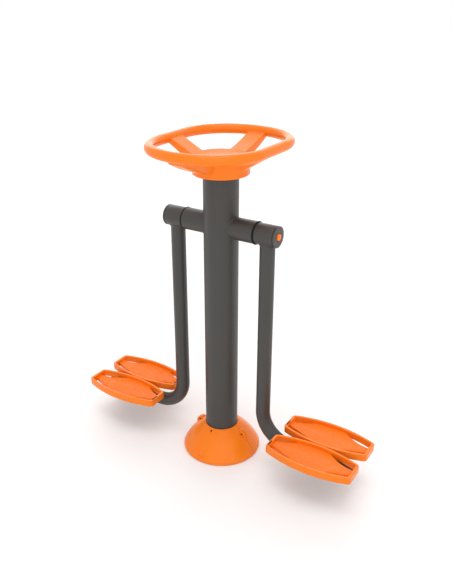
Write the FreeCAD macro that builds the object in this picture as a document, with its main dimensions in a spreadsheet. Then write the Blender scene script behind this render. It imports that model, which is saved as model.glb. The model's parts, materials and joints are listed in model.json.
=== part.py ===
import FreeCAD, Part
import math
import os
import re
import Sketcher
from FreeCAD import Placement, Rotation, Vector

# Outdoor pendulum exercise machine: a post with a fixed hand wheel on top and a cross tube through it.
# A bent arm swings on bearings at each end of the cross tube and carries a pair of foot pedals.
# Millimetres, +Z up, origin on the ground on the post's axis, +X along the cross tube, -Y is the front.

SIZES = [
    ("post_diameter", 139.7, "outside of the post"),
    ("post_wall", 5.0, "wall of the post"),
    ("post_height", 1299.5, "top of the post above the ground"),
    ("weld_gap", 0.1, "room left between two welded pieces"),
    ("flange_diameter", 290.0, "outside of the base flange"),
    ("flange_thickness", 12.0, "thickness of the base flange"),
    ("anchor_circle", 220.0, "circle through the anchor holes"),
    ("anchor_hole", 18.0, "anchor hole for an M16 bolt"),
    ("anchor_count", 4.0, "anchor holes in the flange"),
    ("gusset_height", 70.0, "height of a base gusset"),
    ("gusset_reach", 52.0, "reach of a base gusset from the post"),
    ("gusset_toe", 10.0, "height of a base gusset at its toe"),
    ("gusset_thickness", 8.0, "thickness of a base gusset"),
    ("cover_diameter", 340.0, "outside of the base cover on the ground"),
    ("cover_height", 122.5, "height of the base cover"),
    ("cover_foot", 11.0, "upright foot of the base cover"),
    ("cover_side_radius", 338.0, "outward bulge of the cover's side"),
    ("cover_wall", 4.0, "wall of the base cover"),
    ("cover_neck_gap", 1.5, "room between the cover's neck and the post"),
    ("cover_seam_gap", 0.4, "seam between the two cover halves"),
    ("ear_offset", 100.0, "cover ear from the post's axis"),
    ("ear_height", 80.0, "cover ear above the ground"),
    ("ear_diameter", 57.0, "round outline of a cover ear"),
    ("ear_thickness", 10.0, "thickness of a cover ear"),
    ("ear_screw_offset", 111.0, "ear screw from the post's axis"),
    ("ear_screw_height", 93.0, "ear screw above the ground"),
    ("ear_screw_diameter", 4.0, "screw that joins two cover ears"),
    ("ear_screw_head", 7.0, "head of an ear screw"),
    ("ear_screw_head_height", 4.0, "height of an ear screw's head"),
    ("ear_screw_recess", 8.8, "recess round the head and the nut of an ear screw"),
    ("ear_screw_sink", 5.5, "depth of that recess"),
    ("ear_nut_width", 7.0, "nut of an ear screw across its flats"),
    ("ear_nut_height", 3.2, "height of an ear screw's nut"),
    ("screw_clearance", 0.3, "room round a screw in its hole, on the radius"),
    ("set_screw_diameter", 6.0, "set screw that holds a cover half on the post"),
    ("set_screw_length", 14.0, "length of a set screw"),
    ("set_screw_height", 113.5, "set screw above the ground"),
    ("axle_height", 1044.5, "swing axis above the ground"),
    ("cross_diameter", 88.9, "outside of the cross tube"),
    ("cross_wall", 5.0, "wall of the cross tube"),
    ("cross_reach", 155.0, "end of the cross tube from the post's axis"),
    ("axle_plate", 8.0, "thickness of the plate that closes the cross tube"),
    ("axle_diameter", 45.0, "axle between its two shoulders"),
    ("seal_diameter", 92.0, "outside of the seal ring"),
    ("seal_bore", 80.6, "bore of the seal ring"),
    ("seal_width", 4.3, "width of the seal ring"),
    ("running_gap", 0.3, "gap between the seal ring and the hub"),
    ("hub_diameter", 84.0, "outside of the hub sleeve"),
    ("hub_length", 82.4, "length of the hub sleeve"),
    ("hub_shoulder", 8.4, "length of the hub's inner shoulder"),
    ("hub_shoulder_bore", 58.0, "bore of the hub's inner shoulder"),
    ("bearing_bore", 35.0, "bore of a ball bearing"),
    ("bearing_outside", 72.0, "outside of a ball bearing"),
    ("bearing_width", 17.0, "width of a ball bearing"),
    ("bearing_inner_ring", 46.0, "outside of a bearing's inner ring"),
    ("bearing_outer_ring", 60.0, "inside of a bearing's outer ring"),
    ("bearing_fit", 0.02, "fit of a bearing ring on its seat, on the radius"),
    ("ball_diameter", 11.1, "bearing ball"),
    ("ball_circle", 53.0, "circle through the bearing balls"),
    ("race_gap", 0.05, "room between a ball and its race"),
    ("spacer_length", 26.0, "spacer between the two bearings of a hub"),
    ("spacer_diameter", 44.0, "outside of the bearing spacer"),
    ("washer_diameter", 48.0, "washer on the axle's end"),
    ("washer_thickness", 5.0, "thickness of the axle washer"),
    ("axle_bolt_diameter", 10.0, "bolt in the axle's end"),
    ("axle_bolt_head", 16.0, "axle bolt's head across its flats"),
    ("axle_bolt_head_height", 6.4, "height of the axle bolt's head"),
    ("axle_bolt_grip", 25.0, "length of the axle bolt inside the axle"),
    ("circlip_thickness", 2.5, "circlip that keeps the bearings in the hub"),
    ("circlip_width", 4.0, "circlip's reach into the bore"),
    ("circlip_groove", 1.5, "depth of the circlip groove"),
    ("circlip_opening", 16.0, "gap between the circlip's ends"),
    ("circlip_play", 0.1, "room beside the circlip in its groove"),
    ("stop_pin_diameter", 8.0, "pin that stops the swing"),
    ("stop_pin_length", 18.5, "length of the stop pin"),
    ("stop_circle", 71.0, "circle that the stop pin moves on"),
    ("stop_play", 0.5, "room beside the stop pin in its slot"),
    ("swing_limit", 40.0, "swing of an arm each way, in degrees"),
    ("cap_thickness", 6.0, "end cap outside the hub"),
    ("cap_edge", 1.5, "chamfer round the end cap"),
    ("cap_spigot", 5.0, "end cap's spigot inside the hub"),
    ("cap_spigot_wall", 5.0, "wall of the end cap's spigot"),
    ("cap_bore", 24.0, "hole in the end cap"),
    ("cap_recess", 34.0, "recess round the plug in the end cap"),
    ("cap_recess_depth", 3.0, "depth of that recess"),
    ("plug_head", 28.0, "head of the coloured plug"),
    ("plug_head_height", 8.5, "height of the plug's head"),
    ("plug_edge", 3.0, "chamfer round the plug's head"),
    ("press_gap", 0.1, "room round a pressed or screwed-in piece, on the radius"),
    ("arm_diameter", 60.3, "outside of an arm"),
    ("arm_wall", 3.6, "wall of an arm"),
    ("arm_offset", 210.0, "upright of an arm from the post's axis"),
    ("arm_bend", 134.0, "bend radius of an arm at its centre line"),
    ("arm_run_height", 119.35, "level run of an arm above the ground"),
    ("arm_reach", 636.0, "end of an arm from the post's axis"),
    ("end_plug_flange", 4.0, "flange of an arm's end plug"),
    ("end_plug_depth", 20.0, "depth of an arm's end plug"),
    ("end_plug_wall", 3.0, "wall of an arm's end plug"),
    ("carrier_length", 220.0, "pedal carrier plate along the arm"),
    ("carrier_width", 262.0, "pedal carrier plate across the arm"),
    ("carrier_thickness", 5.0, "thickness of the pedal carrier plate"),
    ("carrier_corner", 18.0, "corner radius of the pedal carrier plate"),
    ("rib_spacing", 150.0, "distance between the carrier ribs along the arm"),
    ("rib_reach", 104.0, "reach of a carrier rib from the arm's middle"),
    ("rib_toe", 9.0, "height of a carrier rib at its toe"),
    ("rib_thickness", 8.0, "thickness of a carrier rib"),
    ("pedal_offset", 482.0, "middle of a pedal from the post's axis"),
    ("pedal_spread", 163.0, "distance between the two pedals of a pair"),
    ("pedal_length", 375.0, "length of a pedal"),
    ("pedal_width", 160.6, "width of a pedal at its middle"),
    ("pedal_end_width", 92.0, "width of a pedal at its ends"),
    ("pedal_height", 31.0, "height of a pedal"),
    ("pedal_wall", 10.0, "wall along a pedal's sides"),
    ("pedal_end_wall", 12.0, "wall across a pedal's ends"),
    ("pedal_corner", 15.0, "upright corner radius of a pedal"),
    ("pedal_edge", 2.5, "rounding along a pedal's rim"),
    ("tray_depth", 14.0, "foot tray below the pedal's rim"),
    ("tread_thickness", 6.0, "thickness of the tread plate"),
    ("tread_lip", 4.0, "wall under the tread plate's edges"),
    ("shoulder_width", 103.0, "width of the tread plate at its shoulders"),
    ("long_slot_shoulder", 75.0, "shoulder of the long slot from the pedal's middle"),
    ("long_slot_start", 43.0, "start of the long slot at the side wall, from the pedal's middle"),
    ("long_slot_neck", 18.5, "tread plate's neck at the long slot, from the pedal's middle line"),
    ("long_slot_curve", 180.0, "hollow curve of the tread plate along the long slot"),
    ("short_slot_shoulder", 101.0, "shoulder of the short slot from the pedal's middle"),
    ("short_slot_start", 84.0, "start of the short slot at the side wall, from the pedal's middle"),
    ("short_slot_neck", 15.5, "tread plate's neck at the short slot, from the pedal's middle line"),
    ("short_slot_curve", 200.0, "hollow curve of the tread plate along the short slot"),
    ("front_slot_shoulder", 65.0, "shoulder of a front slot from the pedal's middle"),
    ("front_slot_start", 33.0, "start of a front slot at the side wall, from the pedal's middle"),
    ("front_slot_neck", 10.0, "tread plate's neck at a front slot, from the pedal's middle line"),
    ("front_slot_curve", 1500.0, "almost straight edge of the tread plate along a front slot"),
    ("pedal_boss", 24.0, "boss round a pedal bolt"),
    ("pedal_bolt_span", 120.0, "pedal bolts along the pedal"),
    ("pedal_bolt_gauge", 60.0, "pedal bolts across the pedal"),
    ("pedal_bolt_diameter", 8.0, "pedal bolt"),
    ("pedal_bolt_head", 13.0, "pedal bolt's head across its flats"),
    ("pedal_bolt_head_height", 5.3, "height of a pedal bolt's head"),
    ("pedal_bolt_length", 15.0, "pedal bolt under its head"),
    ("pedal_insert_diameter", 11.5, "threaded insert in a pedal"),
    ("pedal_insert_length", 11.0, "length of that insert"),
    ("hook_slot_length", 34.0, "slot in the inner end wall of a pedal"),
    ("hook_slot_width", 6.0, "width of that slot"),
    ("hook_slot_depth", 25.0, "depth of that slot"),
    ("hook_slot_inset", 7.5, "middle of that slot from the pedal's end"),
    ("hook_slot_offset", 17.5, "middle of that slot in front of the pedal's middle line"),
    ("strip_sink", 1.0, "black strip in that slot, below the pedal's rim"),
    ("rim_rise", 66.8, "centre line of the wheel's rim above the post's top"),
    ("wheel_width", 444.0, "wheel rim's centre line along the cross tube"),
    ("wheel_length", 560.0, "wheel rim's centre line across it"),
    ("wheel_corner", 200.0, "corner radius of the rim's centre line"),
    ("rim_diameter", 40.0, "grip of the wheel's rim"),
    ("boss_diameter", 222.0, "outside of the wheel's boss"),
    ("boss_overlap", 47.0, "wheel's boss below the post's top"),
    ("boss_rise", 22.5, "wheel's boss above the post's top"),
    ("boss_edge", 6.0, "rounding of the boss's edges"),
    ("boss_recess", 206.0, "recess under the boss"),
    ("boss_recess_depth", 16.0, "depth of that recess"),
    ("socket_gap", 0.3, "room between the post and the boss, on the radius and above"),
    ("spoke_root", 100.0, "distance of a spoke's root from the post's axis"),
    ("spoke_width", 76.0, "width of a spoke"),
    ("spoke_rounding", 12.0, "edge radius under a spoke"),
    ("spoke_root_depth", 42.0, "depth of a spoke at its root"),
    ("spoke_root_sink", 9.0, "spoke's top below the boss's top at its root"),
    ("short_spoke_depth", 30.0, "depth of a short spoke at the rim"),
    ("short_spoke_rise", 11.5, "short spoke's top above the rim's centre line"),
    ("short_spoke_sag", 0.5, "drop of a short spoke's middle below a straight line"),
    ("long_spoke_depth", 34.0, "depth of a long spoke at the rim"),
    ("long_spoke_rise", 7.0, "long spoke's top above the rim's centre line"),
    ("long_spoke_sag", 8.0, "drop of a long spoke's middle below a straight line"),
    ("wheel_flange_diameter", 204.0, "flange under the wheel's boss"),
    ("wheel_flange_thickness", 8.0, "thickness of that flange"),
    ("wheel_bolt_circle", 176.0, "circle through the wheel bolts"),
    ("wheel_bolt_diameter", 10.0, "wheel bolt"),
    ("wheel_bolt_head", 16.0, "wheel bolt's head across its flats"),
    ("wheel_bolt_head_height", 6.4, "height of a wheel bolt's head"),
    ("wheel_bolt_length", 26.0, "wheel bolt under its head"),
    ("wheel_insert_diameter", 14.0, "threaded insert in the wheel's boss"),
    ("wheel_insert_length", 20.0, "length of that insert"),
]
BALL_COUNT = 9
ALIASES = [alias for alias, size, words in SIZES]

doc = FreeCAD.newDocument("pendulum_machine")
sheet = doc.addObject("Spreadsheet::Sheet", "Dims")
for row, (alias, size, words) in enumerate(SIZES, start=1):
    sheet.set(f"A{row}", words)
    sheet.set(f"B{row}", str(size))
    sheet.setAlias(f"B{row}", alias)
doc.recompute()

nodes = []


# Sizes, sketches and features

def in_sheet(text):
    """Turns the plain names of sizes in a formula into references to the sheet."""
    return re.sub(r"[a-z]\w*", lambda word: f"Dims.{word[0]}" if word[0] in ALIASES else word[0], text)


def size_of(text):
    return float(sheet.evalExpression(in_sheet(text)))


def bind(item, **formulas):
    for name, text in formulas.items():
        item.setExpression(name, in_sheet(text))


def place(item, x="0", y="0", z="0"):
    for axis, text in zip("xyz", (x, y, z)):
        item.setExpression(f"Placement.Base.{axis}", in_sheet(text))
    return item


def keep(label, item):
    """Makes an object of the document a sub-part, which gets a file of its own."""
    item.Label = label
    nodes.append(item)
    return item


def new_body(name, x="0", y="0", z="0"):
    return place(doc.addObject("PartDesign::Body", name), x, y, z)


def origin_of(body, role):
    return next(item for item in body.Origin.OriginFeatures if item.Role == role)


def new_sketch(body, role, offset="0"):
    """A sketch on one of the body's own planes, moved along that plane's normal."""
    sketch = body.newObject("Sketcher::SketchObject", f"{body.Name}_sketch")
    sketch.AttachmentSupport = [(origin_of(body, role), "")]
    sketch.MapMode = "FlatFace"
    sketch.setExpression("AttachmentOffset.Base.z", in_sheet(offset))
    return sketch


def constrain(sketch, text, kind, *places):
    number = sketch.addConstraint(Sketcher.Constraint(kind, *places, size_of(text)))
    sketch.setExpression(f"Constraints[{number}]", in_sheet(text))


def pin(sketch, edge, end, x, y):
    """Fixes one point of a sketch by its two coordinates."""
    for text, kind, axis in ((x, "DistanceX", -2), (y, "DistanceY", -1)):
        if text == "0":
            sketch.addConstraint(Sketcher.Constraint("PointOnObject", edge, end, axis))
        else:
            constrain(sketch, text, kind, -1, 1, edge, end)


def circle(sketch, diameter, x="0", y="0"):
    centre = Vector(size_of(x), size_of(y), 0)
    edge = sketch.addGeometry(Part.Circle(centre, Vector(0, 0, 1), size_of(diameter) / 2), False)
    constrain(sketch, diameter, "Diameter", edge)
    pin(sketch, edge, 3, x, y)


def arc_edge(start, end, radius, side):
    """The short arc from start to end, with its centre on the left (1) or right (-1) of the way."""
    chord = end - start
    left = Vector(-chord.y, chord.x, 0).normalize()
    height = math.sqrt(radius ** 2 - (chord.Length / 2) ** 2)
    centre = (start + end) * 0.5 + left * (side * height)
    first, last = (start, end) if side > 0 else (end, start)
    angles = [math.atan2(point.y - centre.y, point.x - centre.x) for point in (first, last)]
    if angles[1] < angles[0]:
        angles[1] += 2 * math.pi
    return Part.ArcOfCircle(Part.Circle(centre, Vector(0, 0, 1), radius), *angles)


def outline(sketch, corners, closed=True):
    """Lines and arcs through corners (x, y); a corner (x, y, radius, side) starts an arc."""
    points = [Vector(size_of(corner[0]), size_of(corner[1]), 0) for corner in corners]
    count = len(corners)
    edges = []
    for index in range(count if closed else count - 1):
        start, end = points[index], points[(index + 1) % count]
        if len(corners[index]) == 2:
            edges.append((sketch.addGeometry(Part.LineSegment(start, end), False), 1, 2))
            continue
        radius, side = corners[index][2:]
        edge = sketch.addGeometry(arc_edge(start, end, size_of(radius), side), False)
        edges.append((edge, 1, 2) if side > 0 else (edge, 2, 1))
    for index, (edge, first, last) in enumerate(edges):
        if index + 1 < len(edges) or closed:
            following = edges[(index + 1) % len(edges)]
            sketch.addConstraint(Sketcher.Constraint("Coincident", edge, last, following[0], following[1]))
        pin(sketch, edge, first, *corners[index][:2])
        if len(corners[index]) > 2:
            constrain(sketch, corners[index][2], "Radius", edge)
    if not closed:
        pin(sketch, edges[-1][0], edges[-1][2], *corners[-1][:2])


def rounded_rectangle(sketch, width, height, radius, middle_y="0"):
    """A rectangle with round corners about (0, middle_y)."""
    half_width, half_height = f"({width}) / 2", f"({height}) / 2"
    corners = []
    for sign_x, sign_y, first in ((1, -1, True), (1, 1, False), (-1, 1, True), (-1, -1, False)):
        along_y = (f"{sign_x} * {half_width}", f"{middle_y} + {sign_y} * ({half_height} - {radius})")
        along_x = (f"{sign_x} * ({half_width} - {radius})", f"{middle_y} + {sign_y} * {half_height}")
        start, end = (along_x, along_y) if first else (along_y, along_x)
        corners += [(*start, radius, 1), end]
    outline(sketch, corners)


def pad(body, sketch, length, backwards=False):
    feature = body.newObject("PartDesign::Pad", f"{body.Name}_pad")
    feature.Profile = sketch
    feature.Reversed = backwards
    bind(feature, Length=length)
    return feature


def pocket(body, sketch, length=None, backwards=False):
    """Cuts a sketch into the body, through all of it both ways where no length is given."""
    feature = body.newObject("PartDesign::Pocket", f"{body.Name}_pocket")
    feature.Profile = sketch
    feature.Reversed = backwards
    if length:
        bind(feature, Length=length)
    else:
        feature.Type = "ThroughAll"
        feature.Midplane = True
    return feature


def revolve(body, sketch, role, kind="PartDesign::Revolution", angle="360"):
    feature = body.newObject(kind, f"{body.Name}_turn")
    feature.Profile = sketch
    feature.ReferenceAxis = (origin_of(body, role), [""])
    feature.Midplane = kind == "PartDesign::Groove"
    bind(feature, Angle=angle)
    return feature


def polar(body, feature, count):
    pattern = body.newObject("PartDesign::PolarPattern", f"{body.Name}_pattern")
    pattern.Originals = [feature]
    pattern.Axis = (origin_of(body, "Z_Axis"), [""])
    pattern.Angle = 360
    bind(pattern, Occurrences=count)
    body.Tip = pattern


def fillet(body, base, edges, radius):
    """Rounds those edges of a feature that the test picks."""
    doc.recompute()
    names = [f"Edge{number}" for number, edge in enumerate(base.Shape.Edges, start=1) if edges(edge)]
    feature = body.newObject("PartDesign::Fillet", f"{body.Name}_fillet")
    feature.Base = (base, names)
    bind(feature, Radius=radius)
    return feature


def turned(name, corners, role="X_Axis", z="axle_height"):
    """A body turned about the swing axis, or about the post's axis, from an outline of (along, out)."""
    body = new_body(name, z=z)
    sketch = new_sketch(body, "XZ_Plane")
    outline(sketch, corners)
    revolve(body, sketch, role)
    return body


def ring(name, start, end, bore, outside):
    """A ring about the swing axis, from start to end along it."""
    corners = [(start, f"({bore}) / 2"), (end, f"({bore}) / 2")]
    corners += [(end, f"({outside}) / 2"), (start, f"({outside}) / 2")]
    return turned(name, corners)


def cylinder(name, diameter, length, turn=None):
    item = doc.addObject("Part::Cylinder", name)
    bind(item, Radius=f"({diameter}) / 2", Height=length)
    if turn:
        item.Placement = Placement(Vector(), turn)
    return item


def hexagon(name, across_flats, height, turn=None):
    item = doc.addObject("Part::Prism", name)
    item.Polygon = 6
    bind(item, Circumradius=f"({across_flats}) / sqrt(3)", Height=height)
    if turn:
        item.Placement = Placement(Vector(), turn)
    return item


def fuse(name, *items):
    item = doc.addObject("Part::MultiFuse", name)
    item.Shapes = list(items)
    return item


def cut(name, base, tool):
    item = doc.addObject("Part::Cut", name)
    item.Base = base
    item.Tool = tool
    return item


def group(name, *items):
    item = doc.addObject("Part::Compound", name)
    item.Links = list(items)
    return item


def mirrored(name, source, normal, middle="0"):
    """A mirror image across the plane through the middle, square to the axis that is named."""
    item = doc.addObject("Part::Mirroring", name)
    item.Source = source
    item.Normal = {"x": Vector(1, 0, 0), "y": Vector(0, 1, 0)}[normal]
    item.setExpression(f"Base.{normal}", in_sheet(middle))
    return item


def mirrored_group(name, source, *planes):
    """A piece with its mirror images across each plane (normal, middle) in turn, as one group."""
    for step, (normal, middle) in enumerate(planes):
        image = mirrored(f"{name}_image_{step}", source, normal, middle)
        source = group(f"{name}_group_{step}", source, image)
    return source


ALONG_X = Rotation(Vector(0, 1, 0), 90)
ALONG_Y = Rotation(Vector(1, 0, 0), -90)
ACROSS_POST = (("x", "0"), ("y", "0"))


# Base: flange, gussets, post and two-piece cover

def base_flange():
    body = new_body("base_flange")
    sketch = new_sketch(body, "XY_Plane")
    circle(sketch, "flange_diameter")
    pad(body, sketch, "flange_thickness")
    sketch = new_sketch(body, "XY_Plane")
    circle(sketch, "anchor_hole", "anchor_circle / 2")
    polar(body, pocket(body, sketch), "anchor_count")
    keep("base_flange", body)


def base_gussets():
    """Four triangular plates in the post's corners, between the anchor holes."""
    body = new_body("base_gusset", z="flange_thickness")
    inner = "post_diameter / 2 + weld_gap"
    sketch = new_sketch(body, "XZ_Plane", "-gusset_thickness / 2")
    outline(sketch, [
        (inner, "0"),
        (f"{inner} + gusset_reach", "0"),
        (f"{inner} + gusset_reach", "gusset_toe"),
        (f"{inner} + gusset_toe", "gusset_height"),
        (inner, "gusset_height"),
    ])
    pad(body, sketch, "gusset_thickness")
    body.Placement = Placement(Vector(), Rotation(Vector(0, 0, 1), 45))
    keep("base_gussets", mirrored_group("base_gussets", body, *ACROSS_POST))


def post_tube():
    body = new_body("post_tube", z="flange_thickness")
    sketch = new_sketch(body, "XY_Plane")
    circle(sketch, "post_diameter")
    circle(sketch, "post_diameter - 2 * post_wall")
    pad(body, sketch, "post_height - flange_thickness")
    sketch = new_sketch(body, "YZ_Plane")
    circle(sketch, "cross_diameter + 2 * weld_gap", "0", "axle_height - flange_thickness")
    pocket(body, sketch)
    keep("post_tube", body)


def base_cover():
    """A bell in two halves that meet in the plane of the cross tube, with a screwed ear at each end."""
    body = new_body("cover_front", y="-cover_seam_gap / 2")
    neck = "post_diameter / 2 + cover_neck_gap"
    foot = "cover_diameter / 2"
    sketch = new_sketch(body, "XZ_Plane")
    outline(sketch, [
        ("0", "0"),
        (foot, "0"),
        (foot, "cover_foot", "cover_side_radius", 1),
        (f"{neck} + cover_wall", "cover_height"),
        ("0", "cover_height"),
    ])
    half_turn = revolve(body, sketch, "Z_Axis", angle="180")
    half_turn.Reversed = True
    for side in ("ear_offset", "-ear_offset"):
        sketch = new_sketch(body, "XZ_Plane")
        circle(sketch, "ear_diameter", side, "ear_height")
        pad(body, sketch, "ear_thickness")
    sketch = new_sketch(body, "XZ_Plane")
    outline(sketch, [
        ("0", "-cover_wall"),
        (f"{foot} - cover_wall", "-cover_wall"),
        (f"{foot} - cover_wall", "cover_foot - cover_wall / 2", "cover_side_radius - cover_wall", 1),
        (neck, "cover_height - cover_wall"),
        (neck, "cover_height + cover_wall"),
        ("0", "cover_height + cover_wall"),
    ])
    revolve(body, sketch, "Z_Axis", "PartDesign::Groove")
    sketch = new_sketch(body, "XZ_Plane")
    for side in ("ear_screw_offset", "-ear_screw_offset"):
        circle(sketch, "ear_screw_diameter + 2 * screw_clearance", side, "ear_screw_height")
    pocket(body, sketch)
    sketch = new_sketch(body, "XZ_Plane", "ear_thickness - ear_screw_sink")
    for side in ("ear_screw_offset", "-ear_screw_offset"):
        circle(sketch, "ear_screw_recess", side, "ear_screw_height")
    pocket(body, sketch, "ear_screw_sink + ear_diameter", backwards=True)
    sketch = new_sketch(body, "XZ_Plane")
    circle(sketch, "set_screw_diameter + 2 * press_gap", "0", "set_screw_height")
    pocket(body, sketch)
    keep("cover_front_half", body)
    keep("cover_rear_half", mirrored("cover_rear", body, "y"))


def cover_screws():
    face = "cover_seam_gap / 2 + ear_thickness - ear_screw_sink"
    head = cylinder("ear_screw_head", "ear_screw_head", "ear_screw_head_height", ALONG_Y)
    place(head, "ear_screw_offset", f"-({face}) - ear_screw_head_height", "ear_screw_height")
    shank = cylinder("ear_screw_shank", "ear_screw_diameter", f"2 * ({face}) + ear_nut_height", ALONG_Y)
    place(shank, "ear_screw_offset", f"-({face})", "ear_screw_height")
    screw = fuse("ear_screw", head, shank)
    keep("cover_ear_screws", mirrored_group("ear_screws", screw, ("x", "0")))
    nut = hexagon("ear_nut_body", "ear_nut_width", "ear_nut_height", ALONG_Y)
    place(nut, "ear_screw_offset", face, "ear_screw_height")
    hole = cylinder("ear_nut_hole", "ear_screw_diameter + 2 * press_gap", "ear_nut_height", ALONG_Y)
    place(hole, "ear_screw_offset", face, "ear_screw_height")
    keep("cover_ear_nuts", mirrored_group("ear_nuts", cut("ear_nut", nut, hole), ("x", "0")))
    set_screw = cylinder("set_screw", "set_screw_diameter", "set_screw_length", ALONG_Y)
    place(set_screw, "0", "post_diameter / 2 + press_gap", "set_screw_height")
    keep("cover_set_screws", mirrored_group("set_screws", set_screw, ("y", "0")))


# Hand wheel on the post

def wheel_rim_path(sketch):
    """Two straight grips, large end arcs about the middle, and corner arcs tangent to both."""
    half_width, half_length = "wheel_width / 2", "wheel_length / 2"
    core = f"({half_length} - wheel_corner)"
    strip = f"({half_width} - wheel_corner)"
    grip = f"sqrt({core} ^ 2 - {strip} ^ 2)"
    end_x = f"{half_length} / {core} * {strip}"
    end_y = f"{half_length} / {core} * {grip}"
    outline(sketch, [
        (half_width, "0"),
        (half_width, grip, "wheel_corner", 1),
        (end_x, end_y, half_length, 1),
        (f"-{end_x}", end_y, "wheel_corner", 1),
        (f"-{half_width}", grip),
        (f"-{half_width}", f"-{grip}", "wheel_corner", 1),
        (f"-{end_x}", f"-{end_y}", half_length, 1),
        (end_x, f"-{end_y}", "wheel_corner", 1),
        (half_width, f"-{grip}"),
    ])


def spoke_section(body, role, place, top, depth):
    """A section across a spoke: a flat top, upright sides and round lower edges."""
    sketch = new_sketch(body, role, place)
    half, bottom = "spoke_width / 2", f"({top} - {depth})"
    outline(sketch, [
        (f"-{half}", top),
        (f"-{half}", f"{bottom} + spoke_rounding", "spoke_rounding", 1),
        (f"-{half} + spoke_rounding", bottom),
        (f"{half} - spoke_rounding", bottom, "spoke_rounding", 1),
        (half, f"{bottom} + spoke_rounding"),
        (half, top),
    ])
    return sketch


def spoke(body, role, sign, reach, kind):
    """A flat-topped spoke that leaves the boss low and sweeps up to the middle of the rim."""
    root_top = "(post_height + boss_rise - spoke_root_sink)"
    rim_top = f"(post_height + rim_rise + {kind}_spoke_rise)"
    rim_depth = f"{kind}_spoke_depth"
    middle_top = f"(({root_top} + {rim_top}) / 2 - {kind}_spoke_sag)"
    middle_depth = f"(spoke_root_depth + {rim_depth}) / 2"
    feature = body.newObject("PartDesign::AdditiveLoft", "spoke")
    feature.Profile = spoke_section(body, role, f"{sign} * spoke_root", root_top, "spoke_root_depth")
    feature.Sections = [
        spoke_section(body, role, f"{sign} * (spoke_root + {reach}) / 2", middle_top, middle_depth),
        spoke_section(body, role, f"{sign} * {reach}", rim_top, rim_depth),
    ]


def hand_wheel():
    body = new_body("hand_wheel")
    outside, recess = "boss_diameter / 2", "boss_recess / 2"
    socket = "post_diameter / 2 + socket_gap"
    roof = "post_height + socket_gap"
    ledge = "post_height - boss_overlap + boss_recess_depth"
    sketch = new_sketch(body, "XZ_Plane")
    outline(sketch, [
        (recess, "post_height - boss_overlap"),
        (outside, "post_height - boss_overlap"),
        (outside, "post_height + boss_rise - boss_edge", "boss_edge", 1),
        (f"{outside} - boss_edge", "post_height + boss_rise"),
        ("0", "post_height + boss_rise"),
        ("0", roof),
        (socket, roof),
        (socket, ledge),
        (recess, ledge),
    ])
    revolve(body, sketch, "Z_Axis")
    for sign in (1, -1):
        spoke(body, "YZ_Plane", sign, "(wheel_width / 2)", "short")
        spoke(body, "XZ_Plane", sign, "(wheel_length / 2)", "long")
    path = new_sketch(body, "XY_Plane", "post_height + rim_rise")
    wheel_rim_path(path)
    section = new_sketch(body, "XZ_Plane")
    circle(section, "rim_diameter", "wheel_width / 2", "post_height + rim_rise")
    rim = body.newObject("PartDesign::AdditivePipe", "wheel_rim")
    rim.Profile = section
    rim.Spine = (path, [])
    sketch = new_sketch(body, "XY_Plane", ledge)
    half_gauge = "wheel_bolt_circle / sqrt(8)"
    for x in (half_gauge, f"-{half_gauge}"):
        for y in (half_gauge, f"-{half_gauge}"):
            circle(sketch, "wheel_insert_diameter + 2 * press_gap", x, y)
    pocket(body, sketch, "wheel_bolt_length", backwards=True)
    keep("hand_wheel", body)


def wheel_fixing():
    """A flange welded round the post, under the boss, with bolts up into threaded inserts."""
    half_gauge = "wheel_bolt_circle / sqrt(8)"
    ledge = "post_height - boss_overlap + boss_recess_depth"
    under = f"{ledge} - wheel_flange_thickness"
    body = new_body("wheel_flange", z=under)
    sketch = new_sketch(body, "XY_Plane")
    circle(sketch, "wheel_flange_diameter")
    circle(sketch, "post_diameter + 2 * weld_gap")
    for x in (half_gauge, f"-{half_gauge}"):
        for y in (half_gauge, f"-{half_gauge}"):
            circle(sketch, "wheel_bolt_diameter + 2 * screw_clearance", x, y)
    pad(body, sketch, "wheel_flange_thickness")
    keep("wheel_flange", body)
    head = hexagon("wheel_bolt_head", "wheel_bolt_head", "wheel_bolt_head_height")
    place(head, half_gauge, half_gauge, f"{under} - wheel_bolt_head_height")
    shank = cylinder("wheel_bolt_shank", "wheel_bolt_diameter", "wheel_bolt_length")
    place(shank, half_gauge, half_gauge, under)
    bolt = fuse("wheel_bolt", head, shank)
    keep("wheel_bolts", mirrored_group("wheel_bolts", bolt, *ACROSS_POST))
    outside = cylinder("wheel_insert_body", "wheel_insert_diameter", "wheel_insert_length")
    place(outside, half_gauge, half_gauge, ledge)
    bore = cylinder("wheel_insert_bore", "wheel_bolt_diameter + 2 * press_gap", "wheel_insert_length")
    place(bore, half_gauge, half_gauge, ledge)
    keep("wheel_inserts", mirrored_group("wheel_inserts", cut("wheel_insert", outside, bore), *ACROSS_POST))


# Cross tube and axle

HUB_START = "(cross_reach + axle_plate + seal_width + running_gap)"
HUB_END = f"({HUB_START} + hub_length)"
INNER_BEARING = f"({HUB_START} + hub_shoulder)"
OUTER_BEARING = f"({INNER_BEARING} + bearing_width + spacer_length)"
BEARING_MIDDLE = f"({INNER_BEARING} + bearing_width + spacer_length / 2)"
AXLE_END = f"({OUTER_BEARING} + bearing_width)"


def cross_tube():
    body = new_body("cross_tube", z="axle_height")
    sketch = new_sketch(body, "YZ_Plane", "-cross_reach")
    circle(sketch, "cross_diameter")
    circle(sketch, "cross_diameter - 2 * cross_wall")
    pad(body, sketch, "2 * cross_reach")
    keep("cross_tube", body)


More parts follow.
